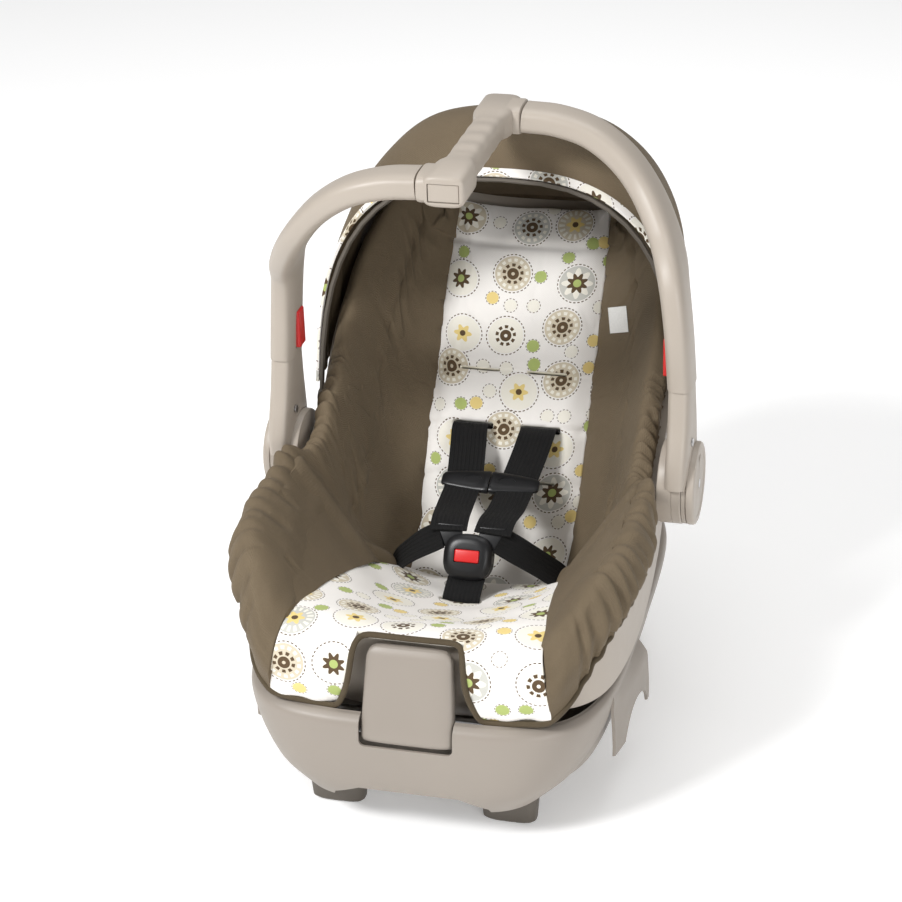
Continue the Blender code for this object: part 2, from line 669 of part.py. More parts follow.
def build_handle_grip():
    """The crosspiece that joins the front-left bar to the back-right bar, with a collar at each end."""
    height = HUB.z + ARM_PATH[-1][2]
    end = HANDLE_OFFSET + 0.0235
    rings = []
    for y, half_x, half_z in ((-end, 0.0165, 0.0125), (0.0025 - end, 0.0200, 0.0150), (-0.074, 0.0200, 0.0150),
                              (-0.062, 0.0150, 0.0135), (0.062, 0.0150, 0.0135), (0.074, 0.0200, 0.0150),
                              (end - 0.0025, 0.0200, 0.0150), (end, 0.0165, 0.0125)):
        rings.append([Vector((a, y, height + b)) for a, b in rounded_ring(half_x, half_z, 4.0, 16)])
    grip = add_loft("handle_grip", rings, "grey_plastic")
    collars = []
    for side in (-1, 1):
        collar = []
        for x, inset in ((-0.0030, 0.0), (0.0245, 0.0), (0.0262, 0.0015)):
            ring = rounded_ring(HANDLE_DEPTH * 0.49 + 0.0016 - inset, HANDLE_THICK / 2 + 0.0018 - inset, 3.2, 14)
            collar.append([Vector((side * x, side * HANDLE_OFFSET + a, height + b)) for a, b in ring])
        collars.append(add_loft(f"collar_{side}", collar, "grey_plastic"))
    combine(grip, collars, "UNION")
    recess = add_box("badge_recess", (0, -end, height - 0.0010), (0.0300, 0.0060, 0.0180), "steel", bevel=0.0008)
    combine(grip, [recess])
    add_box("grip_badge", (0, 0.0018 - end, height - 0.0010), (0.0288, 0.0020, 0.0168), "grey_plastic", bevel=0.0006,
            segments=1)
    return grip


def build_handle_leg(name, side):
    """The arm's lower part: it straddles the drum in front and carries the outer disc."""
    rings = []
    for x, y, h, half_thick, half_depth in ((0.2010, -0.0060, 0.0120, 0.0120, 0.0400),
                                            (0.2012, -0.0060, 0.0300, 0.0122, 0.0390),
                                            (0.2013, -0.0040, 0.0500, 0.0120, 0.0350),
                                            (0.2010, -0.0015, 0.0750, 0.0117, 0.0285),
                                            (0.2002, 0.0000, SLEEVE_END - 0.0002, 0.0114, 0.0228)):
        ring = rounded_ring(half_thick, half_depth, 4.0, 16)
        rings.append([Vector((side * (x + a), y + b, HUB.z + h)) for a, b in ring])
    leg = add_loft(f"handle_leg_{name}", rings, "grey_plastic")
    middle = 0.1500
    drum_edge = DRUM_OUTER_X + 0.0004
    inner = add_cylinder(f"drum_space_{name}", (side * (middle + drum_edge) / 2, 0, HUB.z), HUB_RADIUS + 0.0007,
                         drum_edge - middle, "steel", sides=28)
    outer = add_cylinder(f"cover_space_{name}", (side * (DISC_OUTER_X + 0.0150), 0, HUB.z), HUB_RADIUS + 0.0005,
                         0.0300, "steel", sides=28)
    disc = add_cylinder(f"disc_{name}", (side * (drum_edge + DISC_OUTER_X) / 2, 0, HUB.z), HUB_RADIUS - 0.0006,
                        DISC_OUTER_X - drum_edge, "grey_plastic", sides=28)
    bore = add_cylinder(f"bore_{name}", (side * drum_edge, 0, HUB.z), 0.0042, 0.050, "steel", sides=20)
    combine(leg, [inner, outer])
    combine(leg, [disc], "UNION")
    combine(leg, [bore])
    return leg


def build_hub(name, side):
    """Fixed drum, pivot pin, outer cover and its screw."""
    length = DRUM_OUTER_X - DRUM_INNER_X
    drum = add_cylinder(f"hub_drum_{name}", (side * (DRUM_INNER_X + length / 2), 0, HUB.z), HUB_RADIUS, length,
                        "grey_plastic", bevel=0.0015, sides=28)
    hole = add_cylinder(f"pin_hole_{name}", (side * (DRUM_OUTER_X - 0.0080), 0, HUB.z), 0.0043, 0.0240, "steel",
                        sides=20)
    combine(drum, [hole])
    add_cylinder(f"pivot_pin_{name}", (side * (DISC_OUTER_X - 0.0115), 0, HUB.z), 0.0040, 0.0220, "steel", sides=20)
    cover = add_cylinder(f"hub_cover_{name}", (side * (DISC_OUTER_X + 0.0003 + COVER_OUTER_X) / 2, 0, HUB.z),
                         HUB_RADIUS, COVER_OUTER_X - DISC_OUTER_X - 0.0003, "grey_plastic", bevel=0.0024, sides=28)
    well = add_cylinder(f"screw_well_{name}", (side * COVER_OUTER_X, 0, HUB.z), 0.0050, 0.0060, "steel", sides=24)
    combine(cover, [well])
    add_cylinder(f"hub_screw_{name}", (side * (COVER_OUTER_X - 0.0014), 0, HUB.z), 0.0045, 0.0024, "steel", sides=20)


def build_release_lever(name, side):
    """The red squeeze lever in each arm, and the leaf spring behind it."""
    add_box(f"release_lever_{name}", (side * 0.1854, 0.002, HUB.z + 0.1350), (0.0060, 0.0180, 0.0390), "red_plastic",
            bevel=0.0015)
    add_box(f"lever_spring_{name}", (side * 0.19375, 0.002, HUB.z + 0.1350), (0.0044, 0.0060, 0.0300), "steel",
            bevel=0.0005, segments=1)


def build_leg_screw(name, side):
    """The screw on each leg: outside on the right, inside on the left, as the arms are one moulding."""
    x = 0.2140 if side > 0 else -0.1880
    add_cylinder(f"leg_screw_{name}", (x, -0.0160, HUB.z + 0.0520), 0.0042, 0.0014, "steel", sides=16)


# ---------------------------------------------------------------- canopy

def hoop_point(foot, top, t):
    """A point on an arch over the seat; t runs from -1 at the left foot to 1 at the right foot."""
    angle = abs(t) * math.pi / 2
    across = math.sin(angle) ** (2 / CANOPY_ROUND)
    up = math.cos(angle) ** (2 / CANOPY_ROUND)
    return Vector((math.copysign(foot[0] * across, t), foot[1] + (top[0] - foot[1]) * up,
                   foot[2] + (top[1] - foot[2]) * up))


def mesh_of(curve_object):
    """The curve as a mesh object with its caps welded."""
    graph = bpy.context.evaluated_depsgraph_get()
    mesh = bpy.data.meshes.new_from_object(curve_object.evaluated_get(graph))
    bm = bmesh.new()
    bm.from_mesh(mesh)
    bmesh.ops.remove_doubles(bm, verts=bm.verts, dist=1e-5)
    bm.to_mesh(mesh)
    bm.free()
    name, place = curve_object.name, curve_object.matrix_world.copy()
    bpy.data.objects.remove(curve_object, do_unlink=True)
    thing = bpy.data.objects.new(name, mesh)
    thing.matrix_world = place
    PARTS.objects.link(thing)
    return thing


def build_canopy():
    feet = smooth_path([foot for foot, top in HOOPS], 9)
    tops = smooth_path([(0, *top) for foot, top in HOOPS], 9)
    rows = [[hoop_point(foot, (top.y, top.z), -1 + 2 * k / 16) for k in range(17)] for foot, top in zip(feet, tops)]
    fabric = add_sheet("canopy_fabric", rows, "taupe_fabric")
    solidify(fabric, CANOPY_WALL, 1.0)
    build_front_bow()
    foot, top = HOOPS[4]
    points = [hoop_point((foot[0] - 0.0085, foot[1] - 0.002, foot[2] + 0.004), (top[0] - 0.004, top[1] - 0.0080), -1 + 2 * k / 18)
              for k in range(19)]
    add_tube("canopy_rear_bow", points, 0.0026, "dark_plastic", resolution=1)


def build_front_bow():
    """The bow at the canopy's front edge, with an eye at each end on the pivot."""
    top = HOOPS[0][1]
    foot = (BOW_X, CANOPY_PIVOT.y, CANOPY_PIVOT.z)
    points = [hoop_point(foot, (top[0] + 0.002, top[1] - 0.0046), -1 + 2 * k / 24) for k in range(25)]
    bow = mesh_of(add_tube("canopy_front_bow", points, 0.0027, "dark_plastic", resolution=1))
    eyes, holes = [], []
    for name, side in SIDES:
        place = mirrored((BOW_X, CANOPY_PIVOT.y, CANOPY_PIVOT.z), side)
        eyes.append(add_cylinder(f"bow_eye_{name}", place, 0.0080, 0.0046, "dark_plastic", sides=24))
        holes.append(add_cylinder(f"bow_hole_{name}", place, 0.0032, 0.0300, "steel", sides=16))
        mount = add_cylinder(f"canopy_mount_{name}", mirrored((0.1800, CANOPY_PIVOT.y, CANOPY_PIVOT.z), side), 0.0100,
                             0.0030, "grey_plastic", sides=28)
        stub = add_cylinder(f"canopy_stub_{name}", mirrored((0.1840, CANOPY_PIVOT.y, CANOPY_PIVOT.z), side), 0.0030,
                            0.0080, "steel", sides=16)
        combine(mount, [stub], "UNION")
    combine(bow, eyes, "UNION")
    combine(bow, holes)


# ---------------------------------------------------------------- base

def base_ring(z, half_width, front, back, count=32):
    middle, half = (front + back) / 2, (back - front) / 2
    return [Vector((a, middle + b, z)) for a, b in rounded_ring(half_width, half, BASE_SQUARE, count)]


def underside(levels):
    """The same profile set inwards by the wall's thickness, from the deck back to the bottom edge."""
    made = []
    for k, (z, half, front, back) in enumerate(levels):
        below, above = levels[max(k - 1, 0)], levels[min(k + 1, len(levels) - 1)]
        along = Vector((above[1] - below[1], above[0] - below[0])).normalized()
        inset, drop = along.y * BASE_WALL, -along.x * BASE_WALL
        made.append((z - drop, half - inset, front + inset, back - inset))
    return made[::-1]


def build_wing(name, side):
    """The belt guide on each side: a plate that flares out from the rim and is arched below."""
    inner, outer = [], []
    for y, flare in ((-0.220, -0.003), (-0.195, 0.002), (-0.165, 0.006), (-0.135, 0.009), (-0.112, 0.010)):
        low, high = [], []
        for x, z in ((0.1740, 0.1270), (0.1775, 0.1150), (0.1790, 0.0950), (0.1800, 0.0720), (0.1800, 0.0560)):
            share = min(1.0, (0.1270 - z) / 0.020)
            low.append(Vector((side * (x + flare * share - 0.0030), y, z - 0.001)))
            high.append(Vector((side * (x + flare * share), y, z)))
        inner.append(low)
        outer.append(high)
    return add_slab(f"wing_{name}", inner, outer, "grey_plastic")


def build_base():
    """Base shell with belt guides, a recess for the lever, and a notch in its front bottom edge."""
    levels = list(BASE_LEVELS) + underside(BASE_LEVELS)
    levels.append(levels[0])
    base = add_loft("base_shell", [base_ring(*place) for place in levels], "grey_plastic", caps=False)
    combine(base, [add_box("deck", (0, -0.040, 0.0447), (0.1500, 0.2300, 0.0022), "grey_plastic")], "UNION")
    combine(base, [build_wing(name, side) for name, side in SIDES], "UNION")
    arches = [add_cylinder(f"arch_{name}", (side * 0.1860, -0.1560, 0.0430), 0.0400, 0.0230, "steel", sides=28)
              for name, side in SIDES]
    recess = add_box("lever_recess", (0, -0.3150, 0.1340), (0.0930, 0.0640, 0.0700), "steel", bevel=0.008)
    notch = []
    for y in (-0.330, -0.250):
        notch.append([Vector((x, y, z)) for x, z in ((-0.048, 0.0520), (-0.074, 0.0390), (-0.080, 0.0200),
                                                    (0.080, 0.0200), (0.074, 0.0390), (0.048, 0.0520))])
    combine(base, arches + [recess, add_loft("bottom_notch", notch, "steel")])
    return base


def build_feet():
    for place, x, y, width in FOOT_PLACES:
        for name, side in SIDES:
            rings = []
            for z, wide, deep in ((0.0, 0.80, 0.016), (0.0040, 0.92, 0.022), (0.0300, 1.0, 0.026), (0.0425, 1.0, 0.026)):
                ring = rounded_ring(width / 2 * wide, deep / 2, 3.5, 14)
                rings.append([Vector((side * x + a, y + b, z)) for a, b in ring])
            add_loft(f"foot_{place}_{name}", rings, "dark_plastic")


def build_base_lever():
    """The lever that lets go of the carrier, hinged at its foot on a pin in the base."""
    rings = []
    for z, half_x, front, back in ((0.1035, 0.0380, -0.3110, -0.3010), (0.1065, 0.0430, -0.3155, -0.2975),
                                   (0.1150, 0.0440, -0.3160, -0.2965), (0.1400, 0.0430, -0.3095, -0.2895),
                                   (0.1700, 0.0415, -0.3010, -0.2835), (0.1860, 0.0400, -0.2960, -0.2825),
                                   (0.1925, 0.0370, -0.2920, -0.2825), (0.1945, 0.0320, -0.2890, -0.2850)):
        middle, half = (front + back) / 2, (back - front) / 2
        rings.append([Vector((a, middle + b, z)) for a, b in rounded_ring(half_x, half, 4.0, 16)])
    lever = add_loft("base_release_lever", rings, "grey_plastic")
    bore = add_cylinder("lever_bore", LEVER_PIVOT, 0.0033, 0.2000, "steel", sides=16)
    combine(lever, [bore])
    add_cylinder("release_lever_pin", LEVER_PIVOT, 0.0030, 0.0925, "steel", sides=16)


def build_latch_bars():
    for name, y, z in (("front", -0.2150, 0.0720), ("rear", 0.0750, 0.0720)):
        add_cylinder(f"latch_bar_{name}", (0, y, z), 0.0040, 0.2600, "steel", sides=16)


# ---------------------------------------------------------------- joint axes

def hang(axis_name, place, part_names):
    """Parents parts to an empty that stands on their joint's axis, without moving them."""
    axis = bpy.data.objects.new(axis_name, None)
    axis.location = place
    PARTS.objects.link(axis)
    bpy.context.view_layer.update()
    for part_name in part_names:
        part = PARTS.objects[part_name]
        part.parent = axis
        part.matrix_parent_inverse = axis.matrix_world.inverted()


def place_axes():
    handle = ["handle_grip", "grip_badge"]
    for name, side in SIDES:
        handle += [f"handle_arm_{name}", f"handle_leg_{name}", f"hub_cover_{name}", f"hub_screw_{name}",
                   f"pivot_pin_{name}", f"lever_spring_{name}", f"leg_screw_{name}"]
        hang(f"release_axis_{name}", (side * 0.1854, 0.002, HUB.z + 0.1350), [f"release_lever_{name}"])
    hang("handle_axis", HUB, handle)
    hang("canopy_axis", CANOPY_PIVOT, ["canopy_front_bow"])
    hang("base_lever_axis", LEVER_PIVOT, ["base_release_lever"])
    hang("buckle_axis", BUCKLE_POINT, ["buckle_body", "buckle_button", "button_spring"])


# ---------------------------------------------------------------- run

def build():
    shell = build_carrier_shell()
    foam = build_foam_liner()
    back = build_back()
    seat = build_seat()
    for name, side in SIDES:
        build_bolster(name, side)
        build_handle_arm(name, side)
        build_handle_leg(name, side)
        build_hub(name, side)
        build_release_lever(name, side)
        build_leg_screw(name, side)
    build_front_flap()
    build_handle_grip()
    build_canopy()
    slots = build_harness()
    build_adjuster()
    build_buckle()
    build_chest_clip()
    combine(shell, slots)
    combine(foam, slots)
    combine(back, [slot for slot in slots if slot.name.startswith("shoulder")])
    combine(seat, [slot for slot in slots if slot.name.startswith("crotch")])
    build_base()
    build_feet()
    build_base_lever()
    build_latch_bars()
    place_axes()


build()
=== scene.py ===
"""Infant car seat on its base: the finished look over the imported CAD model.

Every piece stands in the CAD frame, in metres. The soft goods, the mouldings and the webbing are rebuilt
here at full detail from the same dimensions and replace their plain CAD nodes.
"""
import math
import random

import bmesh
import bpy
from mathutils import Matrix, Vector, noise
from mathutils.bvhtree import BVHTree


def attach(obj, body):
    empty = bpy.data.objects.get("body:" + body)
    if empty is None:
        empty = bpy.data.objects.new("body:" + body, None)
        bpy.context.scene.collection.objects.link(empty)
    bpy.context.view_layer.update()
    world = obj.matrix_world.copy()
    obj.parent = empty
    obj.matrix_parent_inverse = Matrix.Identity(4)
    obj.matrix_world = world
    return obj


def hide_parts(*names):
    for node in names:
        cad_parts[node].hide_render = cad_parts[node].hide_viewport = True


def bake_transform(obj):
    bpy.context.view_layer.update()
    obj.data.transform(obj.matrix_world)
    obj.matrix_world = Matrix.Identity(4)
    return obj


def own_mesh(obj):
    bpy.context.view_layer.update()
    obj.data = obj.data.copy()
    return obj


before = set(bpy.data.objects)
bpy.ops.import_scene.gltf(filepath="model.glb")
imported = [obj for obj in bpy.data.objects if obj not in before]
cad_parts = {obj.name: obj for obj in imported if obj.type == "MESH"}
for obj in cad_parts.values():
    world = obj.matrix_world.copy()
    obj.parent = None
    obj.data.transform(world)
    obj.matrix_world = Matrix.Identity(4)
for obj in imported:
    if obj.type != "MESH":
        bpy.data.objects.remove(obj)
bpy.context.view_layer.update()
SIDES = (("left", -1), ("right", 1))
UP = Vector((0, 0, 1))

# ---------------------------------------------------------------- dimensions shared with the CAD model

HUB = Vector((0.0, 0.0, 0.237))
HUB_RADIUS = 0.0415
DRUM_INNER_X, DRUM_OUTER_X = 0.1824, 0.2068
DISC_OUTER_X, COVER_OUTER_X = 0.2110, 0.2195
HANDLE_THICK, HANDLE_DEPTH, HANDLE_OFFSET = 0.0255, 0.0450, 0.0980
SLEEVE_END = 0.1070
ARM_PATH = ((0.2002, 0.00, 0.1073), (0.1965, 0.00, 0.160), (0.1890, 0.12, 0.205), (0.1755, 0.45, 0.2365),
            (0.1530, 0.75, 0.270), (0.1270, 0.90, 0.299), (0.0950, 0.98, 0.3205), (0.0600, 1.00, 0.3310),
            (0.0270, 1.00, 0.3335))
SHELL_WALL, SHELL_ROUND = 0.0030, 2.7
CENTRE_LINE = ((-0.266, 0.190), (-0.276, 0.145), (-0.260, 0.112), (-0.195, 0.098), (-0.105, 0.084),
               (-0.020, 0.070), (0.055, 0.100), (0.129, 0.200), (0.175, 0.262), (0.225, 0.330),
               (0.266, 0.386), (0.284, 0.414))
RIM_LINE = ((0.112, -0.266, 0.190), (0.141, -0.259, 0.192), (0.160, -0.232, 0.199), (0.169, -0.180, 0.210),
            (0.171, -0.110, 0.222), (0.170, -0.030, 0.238), (0.168, 0.040, 0.275), (0.168, 0.100, 0.330),
            (0.162, 0.160, 0.375), (0.148, 0.212, 0.410), (0.118, 0.252, 0.428), (0.095, 0.272, 0.434))
SKIRT_OUT = 0.0115
PAD_FROM = 0.0126
PANEL_HALF = ((0.00, 0.121), (0.10, 0.121), (0.20, 0.116), (0.32, 0.104), (0.47, 0.088), (0.62, 0.090),
              (1.00, 0.087))
BIGHT_S = 0.470
WEBBING, WEBBING_THICK = 0.0380, 0.0016
SLOT_X = 0.0360
SLOT_POINT = Vector((0.0, 0.0990, 0.2320))
BACK_NORMAL = Vector((0.0, -0.797, 0.605)).normalized()
BUCKLE_POINT = Vector((0.0, -0.0700, 0.1620))
BUCKLE_ALONG = Vector((0.0, 0.50, 0.866)).normalized()
CROTCH_Y = -0.1040
CLIP_POINT = Vector((0.0, 0.0305, 0.1990))
BASE_WALL = 0.0026
BASE_LEVELS = ((0.0340, 0.130, -0.3060, 0.150), (0.0470, 0.1430, -0.3120, 0.160),
               (0.0600, 0.155, -0.3160, 0.165), (0.0800, 0.1660, -0.3180, 0.170),
               (0.1000, 0.1740, -0.3180, 0.173),
               (0.1150, 0.1780, -0.3175, 0.175), (0.1240, 0.1790, -0.3155, 0.175),
               (0.1285, 0.1770, -0.3110, 0.173), (0.1300, 0.1740, -0.3070, 0.170),
               (0.1270, 0.1725, -0.3020, 0.167), (0.0950, 0.1690, -0.2960, 0.163),
               (0.0600, 0.1600, -0.2880, 0.155),
               (0.0480, 0.1450, -0.2700, 0.140), (0.0460, 0.0700, -0.1500, 0.070))
BASE_SQUARE = 4.6
CANOPY_ROUND = 2.7
# The hood's cut. Its width is the arch halfway back, 0.720 m, and not the longest one, which is 0.754 m. Its
# length
# is the depth in the middle, 0.308 m. Its area is the mean arch, 0.664 m, by the midpoint of the depths in
# the
# middle and at the feet, 0.234 m. The plain hood's surface is 0.145 m2.
HOOPS = (((0.1880, 0.060, 0.285), (0.100, 0.507)), ((0.1880, 0.078, 0.290), (0.140, 0.541)),
         ((0.1850, 0.100, 0.303), (0.185, 0.552)), ((0.1790, 0.135, 0.330), (0.240, 0.532)),
         ((0.1710, 0.168, 0.360), (0.287, 0.475)), ((0.1640, 0.190, 0.352), (0.3125, 0.405)))
# the print panel's surface: Y, height at the centre, height at the sides, half width; from the bight to the
# hem
SEAT_PROFILE = ((-0.012, 0.104, 0.114, 0.086), (-0.030, 0.116, 0.130, 0.089), (-0.060, 0.124, 0.148, 0.093),
                (-0.100, 0.135, 0.168, 0.101), (-0.150, 0.154, 0.187, 0.108), (-0.200, 0.175, 0.201, 0.114),
                (-0.245, 0.196, 0.209, 0.119), (-0.270, 0.204, 0.208, 0.121), (-0.287, 0.203, 0.203, 0.1225),
                (-0.2975, 0.193, 0.192, 0.125), (-0.3025, 0.178, 0.177, 0.128),
                (-0.3040, 0.163, 0.163, 0.1305),
                (-0.3035, 0.150, 0.151, 0.1325), (-0.3020, 0.138, 0.143, 0.1330),
                (-0.3000, 0.128, 0.137, 0.1315))
# each bolster's sections round the front corner: seam, crown, outer bulge and hem, for the right side
FRONT_SECTIONS = (((0.1195, -0.250, 0.2080), (0.1225, -0.281, 0.2060), (0.1300, -0.3035, 0.170),
                   (0.1335, -0.3000, 0.138)),
                  ((0.1185, -0.236, 0.2065), (0.1370, -0.271, 0.2240), (0.1470, -0.2950, 0.190),
                   (0.1480, -0.2890, 0.154)),
                  ((0.1170, -0.222, 0.2045), (0.1510, -0.252, 0.2420), (0.1670, -0.2690, 0.210),
                   (0.1640, -0.2640, 0.177)),
                  ((0.1155, -0.208, 0.2020), (0.1640, -0.227, 0.2560), (0.1860, -0.2360, 0.228),
                   (0.1790, -0.2350, 0.198)),
                  ((0.1130, -0.187, 0.1970), (0.1710, -0.196, 0.2630), (0.1975, -0.2000, 0.240),
                   (0.1880, -0.1970, 0.209)),
                  ((0.1080, -0.150, 0.1860), (0.1740, -0.152, 0.2660), (0.1985, -0.1520, 0.245),
                   (0.1900, -0.1500, 0.216)),
                  ((0.1030, -0.110, 0.1710), (0.1740, -0.108, 0.2680), (0.1945, -0.1080, 0.248),
                   (0.1890, -0.1060, 0.222)),
                  ((0.0960, -0.075, 0.1530), (0.1740, -0.074, 0.2700), (0.1885, -0.0740, 0.254),
                   (0.1850, -0.0730, 0.230)))

# ---------------------------------------------------------------- geometry helpers


def smooth_path(points, count):
    """Evenly counted points on a Catmull-Rom curve through the given points."""
    points = [Vector(p) for p in points]
    ends = [2 * points[0] - points[1]] + points + [2 * points[-1] - points[-2]]
    spans = len(points) - 1
    made = []
    for k in range(count):
        at = k * spans / (count - 1)
        i = min(int(at), spans - 1)
        t = at - i
        a, b, c, d = ends[i:i + 4]
        made.append(0.5 * ((2 * b) + (c - a) * t + (2 * a - 5 * b + 4 * c - d) * t * t
                           + (3 * b - 3 * c + d - a) * t * t * t))
    return made


def even_path(points, count):
    """Points evenly spaced by length along a polyline."""
    lengths = [0.0]
    for a, b in zip(points, points[1:]):
        lengths.append(lengths[-1] + (b - a).length)
    made, i = [], 0
    for k in range(count):
        want = lengths[-1] * k / (count - 1)
        while i < len(lengths) - 2 and lengths[i + 1] < want:
            i += 1
        part = (want - lengths[i]) / max(1e-9, lengths[i + 1] - lengths[i])
        made.append(points[i].lerp(points[i + 1], min(1.0, part)))
    return made


def mirrored(point, side):
    return Vector((side * point[0], point[1], point[2]))


def rounded_ring(half_a, half_b, power, count):
    """Offsets (a, b) round a rounded rectangle."""
    ring = []
    for k in range(count):
        angle = 2 * math.pi * k / count
        c, s = math.cos(angle), math.sin(angle)
        ring.append((half_a * math.copysign(abs(c) ** (2 / power), c),
                     half_b * math.copysign(abs(s) ** (2 / power), s)))
    return ring


CENTRE_POINTS = smooth_path([(0.0, y, z) for y, z in CENTRE_LINE], 401)
RIM_POINTS = smooth_path(RIM_LINE, 401)


def on_line(points, s):
    """The point at a share s of the way along evenly counted points."""
    index = max(0.0, min(1.0, s)) * (len(points) - 1)
    low = min(int(index), len(points) - 2)
    return points[low].lerp(points[low + 1], index - low)


def section_point(s, t):
    """A point on the shell's inner surface; t runs from -1 at the left rim to 1 at the right rim."""
    centre, rim = on_line(CENTRE_POINTS, s), on_line(RIM_POINTS, s)
    angle = abs(t) * math.pi / 2
    across = math.sin(angle) ** (2 / SHELL_ROUND)
    up = 1 - math.cos(angle) ** (2 / SHELL_ROUND)
    point = centre.lerp(rim, up)
    return Vector((math.copysign(rim.x * across, t), point.y, point.z))


def shell_point(s, t, inside=0.0):
    """The same, moved off the shell's inner surface by a distance."""
    if not inside:
        return section_point(s, t)
    step = 0.02
    t = max(-0.99, min(0.99, t))
    along = section_point(s + step, t) - section_point(s - step, t)
    over = section_point(s, min(0.999, t + step)) - section_point(s, max(-0.999, t - step))
    return section_point(s, t) + over.cross(along).normalized() * inside


def rim_out(s, side):
    """The rim point and its outward direction in plan."""
    rim = on_line(RIM_POINTS, s)
    along = on_line(RIM_POINTS, s + 0.02) - on_line(RIM_POINTS, s - 0.02)
    return mirrored(rim, side), mirrored(Vector((along.y, -along.x, 0)).normalized(), side)


def rim_share(y):
    """How far along the rim it reaches this Y."""
    return min(range(401), key=lambda k: abs(RIM_POINTS[k].y - y)) / 400


def share_at(table, x):
    """The table's values at x, by straight lines between its rows."""
    for low, high in zip(table, table[1:]):
        if x <= high[0]:
            part = max(0.0, (x - low[0]) / (high[0] - low[0]))
            return [a + (b - a) * part for a, b in zip(low[1:], high[1:])]
    return list(table[-1][1:])


def panel_edge(s, beyond=0.0):
    """The t at which the print panel ends and the bolster starts."""
    rim = on_line(RIM_POINTS, s)
    part = min(0.93, (share_at(PANEL_HALF, s)[0] + beyond) / rim.x)
    return math.asin(part ** (SHELL_ROUND / 2)) * 2 / math.pi


def finish_mesh(name, bm, material, body, angle=40):
    """A bmesh as a smooth-shaded piece on a body."""
    mesh = bpy.data.meshes.new(name)
    bm.to_mesh(mesh)
    bm.free()
    mesh.shade_smooth()
    mesh.set_sharp_from_angle(angle=math.radians(angle))
    thing = bpy.data.objects.new(name, mesh)
    bpy.context.scene.collection.objects.link(thing)
    if material:
        mesh.materials.append(material)
    if body:
        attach(thing, body)
    return thing


def loft_bmesh(rings, caps=True, closed=False):
    """A skin over closed rings of equal length, with UVs in metres round and along it."""
    bm = bmesh.new()
    uv = bm.loops.layers.uv.new("UVMap")
    rows = [[bm.verts.new(p) for p in ring] for ring in rings]
    count = len(rows[0])
    mid = len(rings) // 2
    round_at = [0.0]
    for i in range(count):
        round_at.append(round_at[-1] + (rings[mid][(i + 1) % count] - rings[mid][i]).length)
    along_at = [0.0]
    for low, high in zip(rings, rings[1:]):
        along_at.append(along_at[-1] + (high[0] - low[0]).length)
    pairs = list(zip(range(len(rows) - 1), range(1, len(rows))))
    if closed:
        pairs.append((len(rows) - 1, 0))
    for r0, r1 in pairs:
        for i in range(count):
            j = (i + 1) % count
            face = bm.faces.new((rows[r0][i], rows[r0][j], rows[r1][j], rows[r1][i]))
            places = ((round_at[i], along_at[r0]), (round_at[i + 1], along_at[r0]),
                      (round_at[i + 1], along_at[r1]), (round_at[i], along_at[r1]))
            for loop, place in zip(face.loops, places):
                loop[uv].uv = place
    if caps and not closed:
        bm.faces.new(rows[0])
        bm.faces.new(rows[-1])
    bmesh.ops.recalc_face_normals(bm, faces=bm.faces)
    return bm


def loft(name, rings, material, body, caps=True, closed=False, angle=40):
    return finish_mesh(name, loft_bmesh(rings, caps, closed), material, body, angle)


def slab_bmesh(lower, upper, uv_rows=None):
    """A closed solid between two grids; the upper grid carries the UVs, in metres."""
    bm = bmesh.new()
    uv = bm.loops.layers.uv.new("UVMap")
    rows, columns = len(upper), len(upper[0])
    if uv_rows is None:
        mid = columns // 2
        along = [0.0]
        for low, high in zip(upper, upper[1:]):
            along.append(along[-1] + (high[mid] - low[mid]).length)
        uv_rows = []
        for r, row in enumerate(upper):
            across = [0.0]
            for a, b in zip(row, row[1:]):
                across.append(across[-1] + (b - a).length)
            uv_rows.append([(x - across[mid], along[r]) for x in across])
    bottom = [[bm.verts.new(p) for p in row] for row in lower]
    top = [[bm.verts.new(p) for p in row] for row in upper]
    for r in range(rows - 1):
        for c in range(columns - 1):
            corners = ((r, c), (r, c + 1), (r + 1, c + 1), (r + 1, c))
            for grid in (bottom, top):
                face = bm.faces.new([grid[a][b] for a, b in corners])
                for loop, (a, b) in zip(face.loops, corners):
                    loop[uv].uv = uv_rows[a][b]
    around = [(0, c) for c in range(columns)] + [(r, columns - 1) for r in range(1, rows)]
    around += [(rows - 1, c) for c in range(columns - 2, -1, -1)] + [(r, 0) for r in range(rows - 2, 0, -1)]
    for (r0, c0), (r1, c1) in zip(around, around[1:] + around[:1]):
        face = bm.faces.new((bottom[r0][c0], top[r0][c0], top[r1][c1], bottom[r1][c1]))
        for loop, (a, b) in zip(face.loops, ((r0, c0), (r0, c0), (r1, c1), (r1, c1))):
            loop[uv].uv = uv_rows[a][b]
    bmesh.ops.recalc_face_normals(bm, faces=bm.faces)
    return bm


def slab(name, lower, upper, material, body, uv_rows=None, angle=60):
    return finish_mesh(name, slab_bmesh(lower, upper, uv_rows), material, body, angle)


def tube(name, points, radius, material, body, sides=10, closed=False, flat=1.0):
    """A round cord along a path, as a mesh."""
    rings, lift = [], None
    count = len(points)
    for k, point in enumerate(points):
        before = points[(k - 1) % count] if closed else points[max(k - 1, 0)]
        after = points[(k + 1) % count] if closed else points[min(k + 1, count - 1)]
        along = (after - before).normalized()
        if lift is None:
            lift = along.orthogonal().normalized()
        lift = (lift - along * lift.dot(along)).normalized()
        across = along.cross(lift)
        rings.append([point + lift * radius * math.cos(a) * flat + across * radius * math.sin(a)
                      for a in (2 * math.pi * i / sides for i in range(sides))])
    return loft(name, rings, material, body, closed=closed, angle=80)


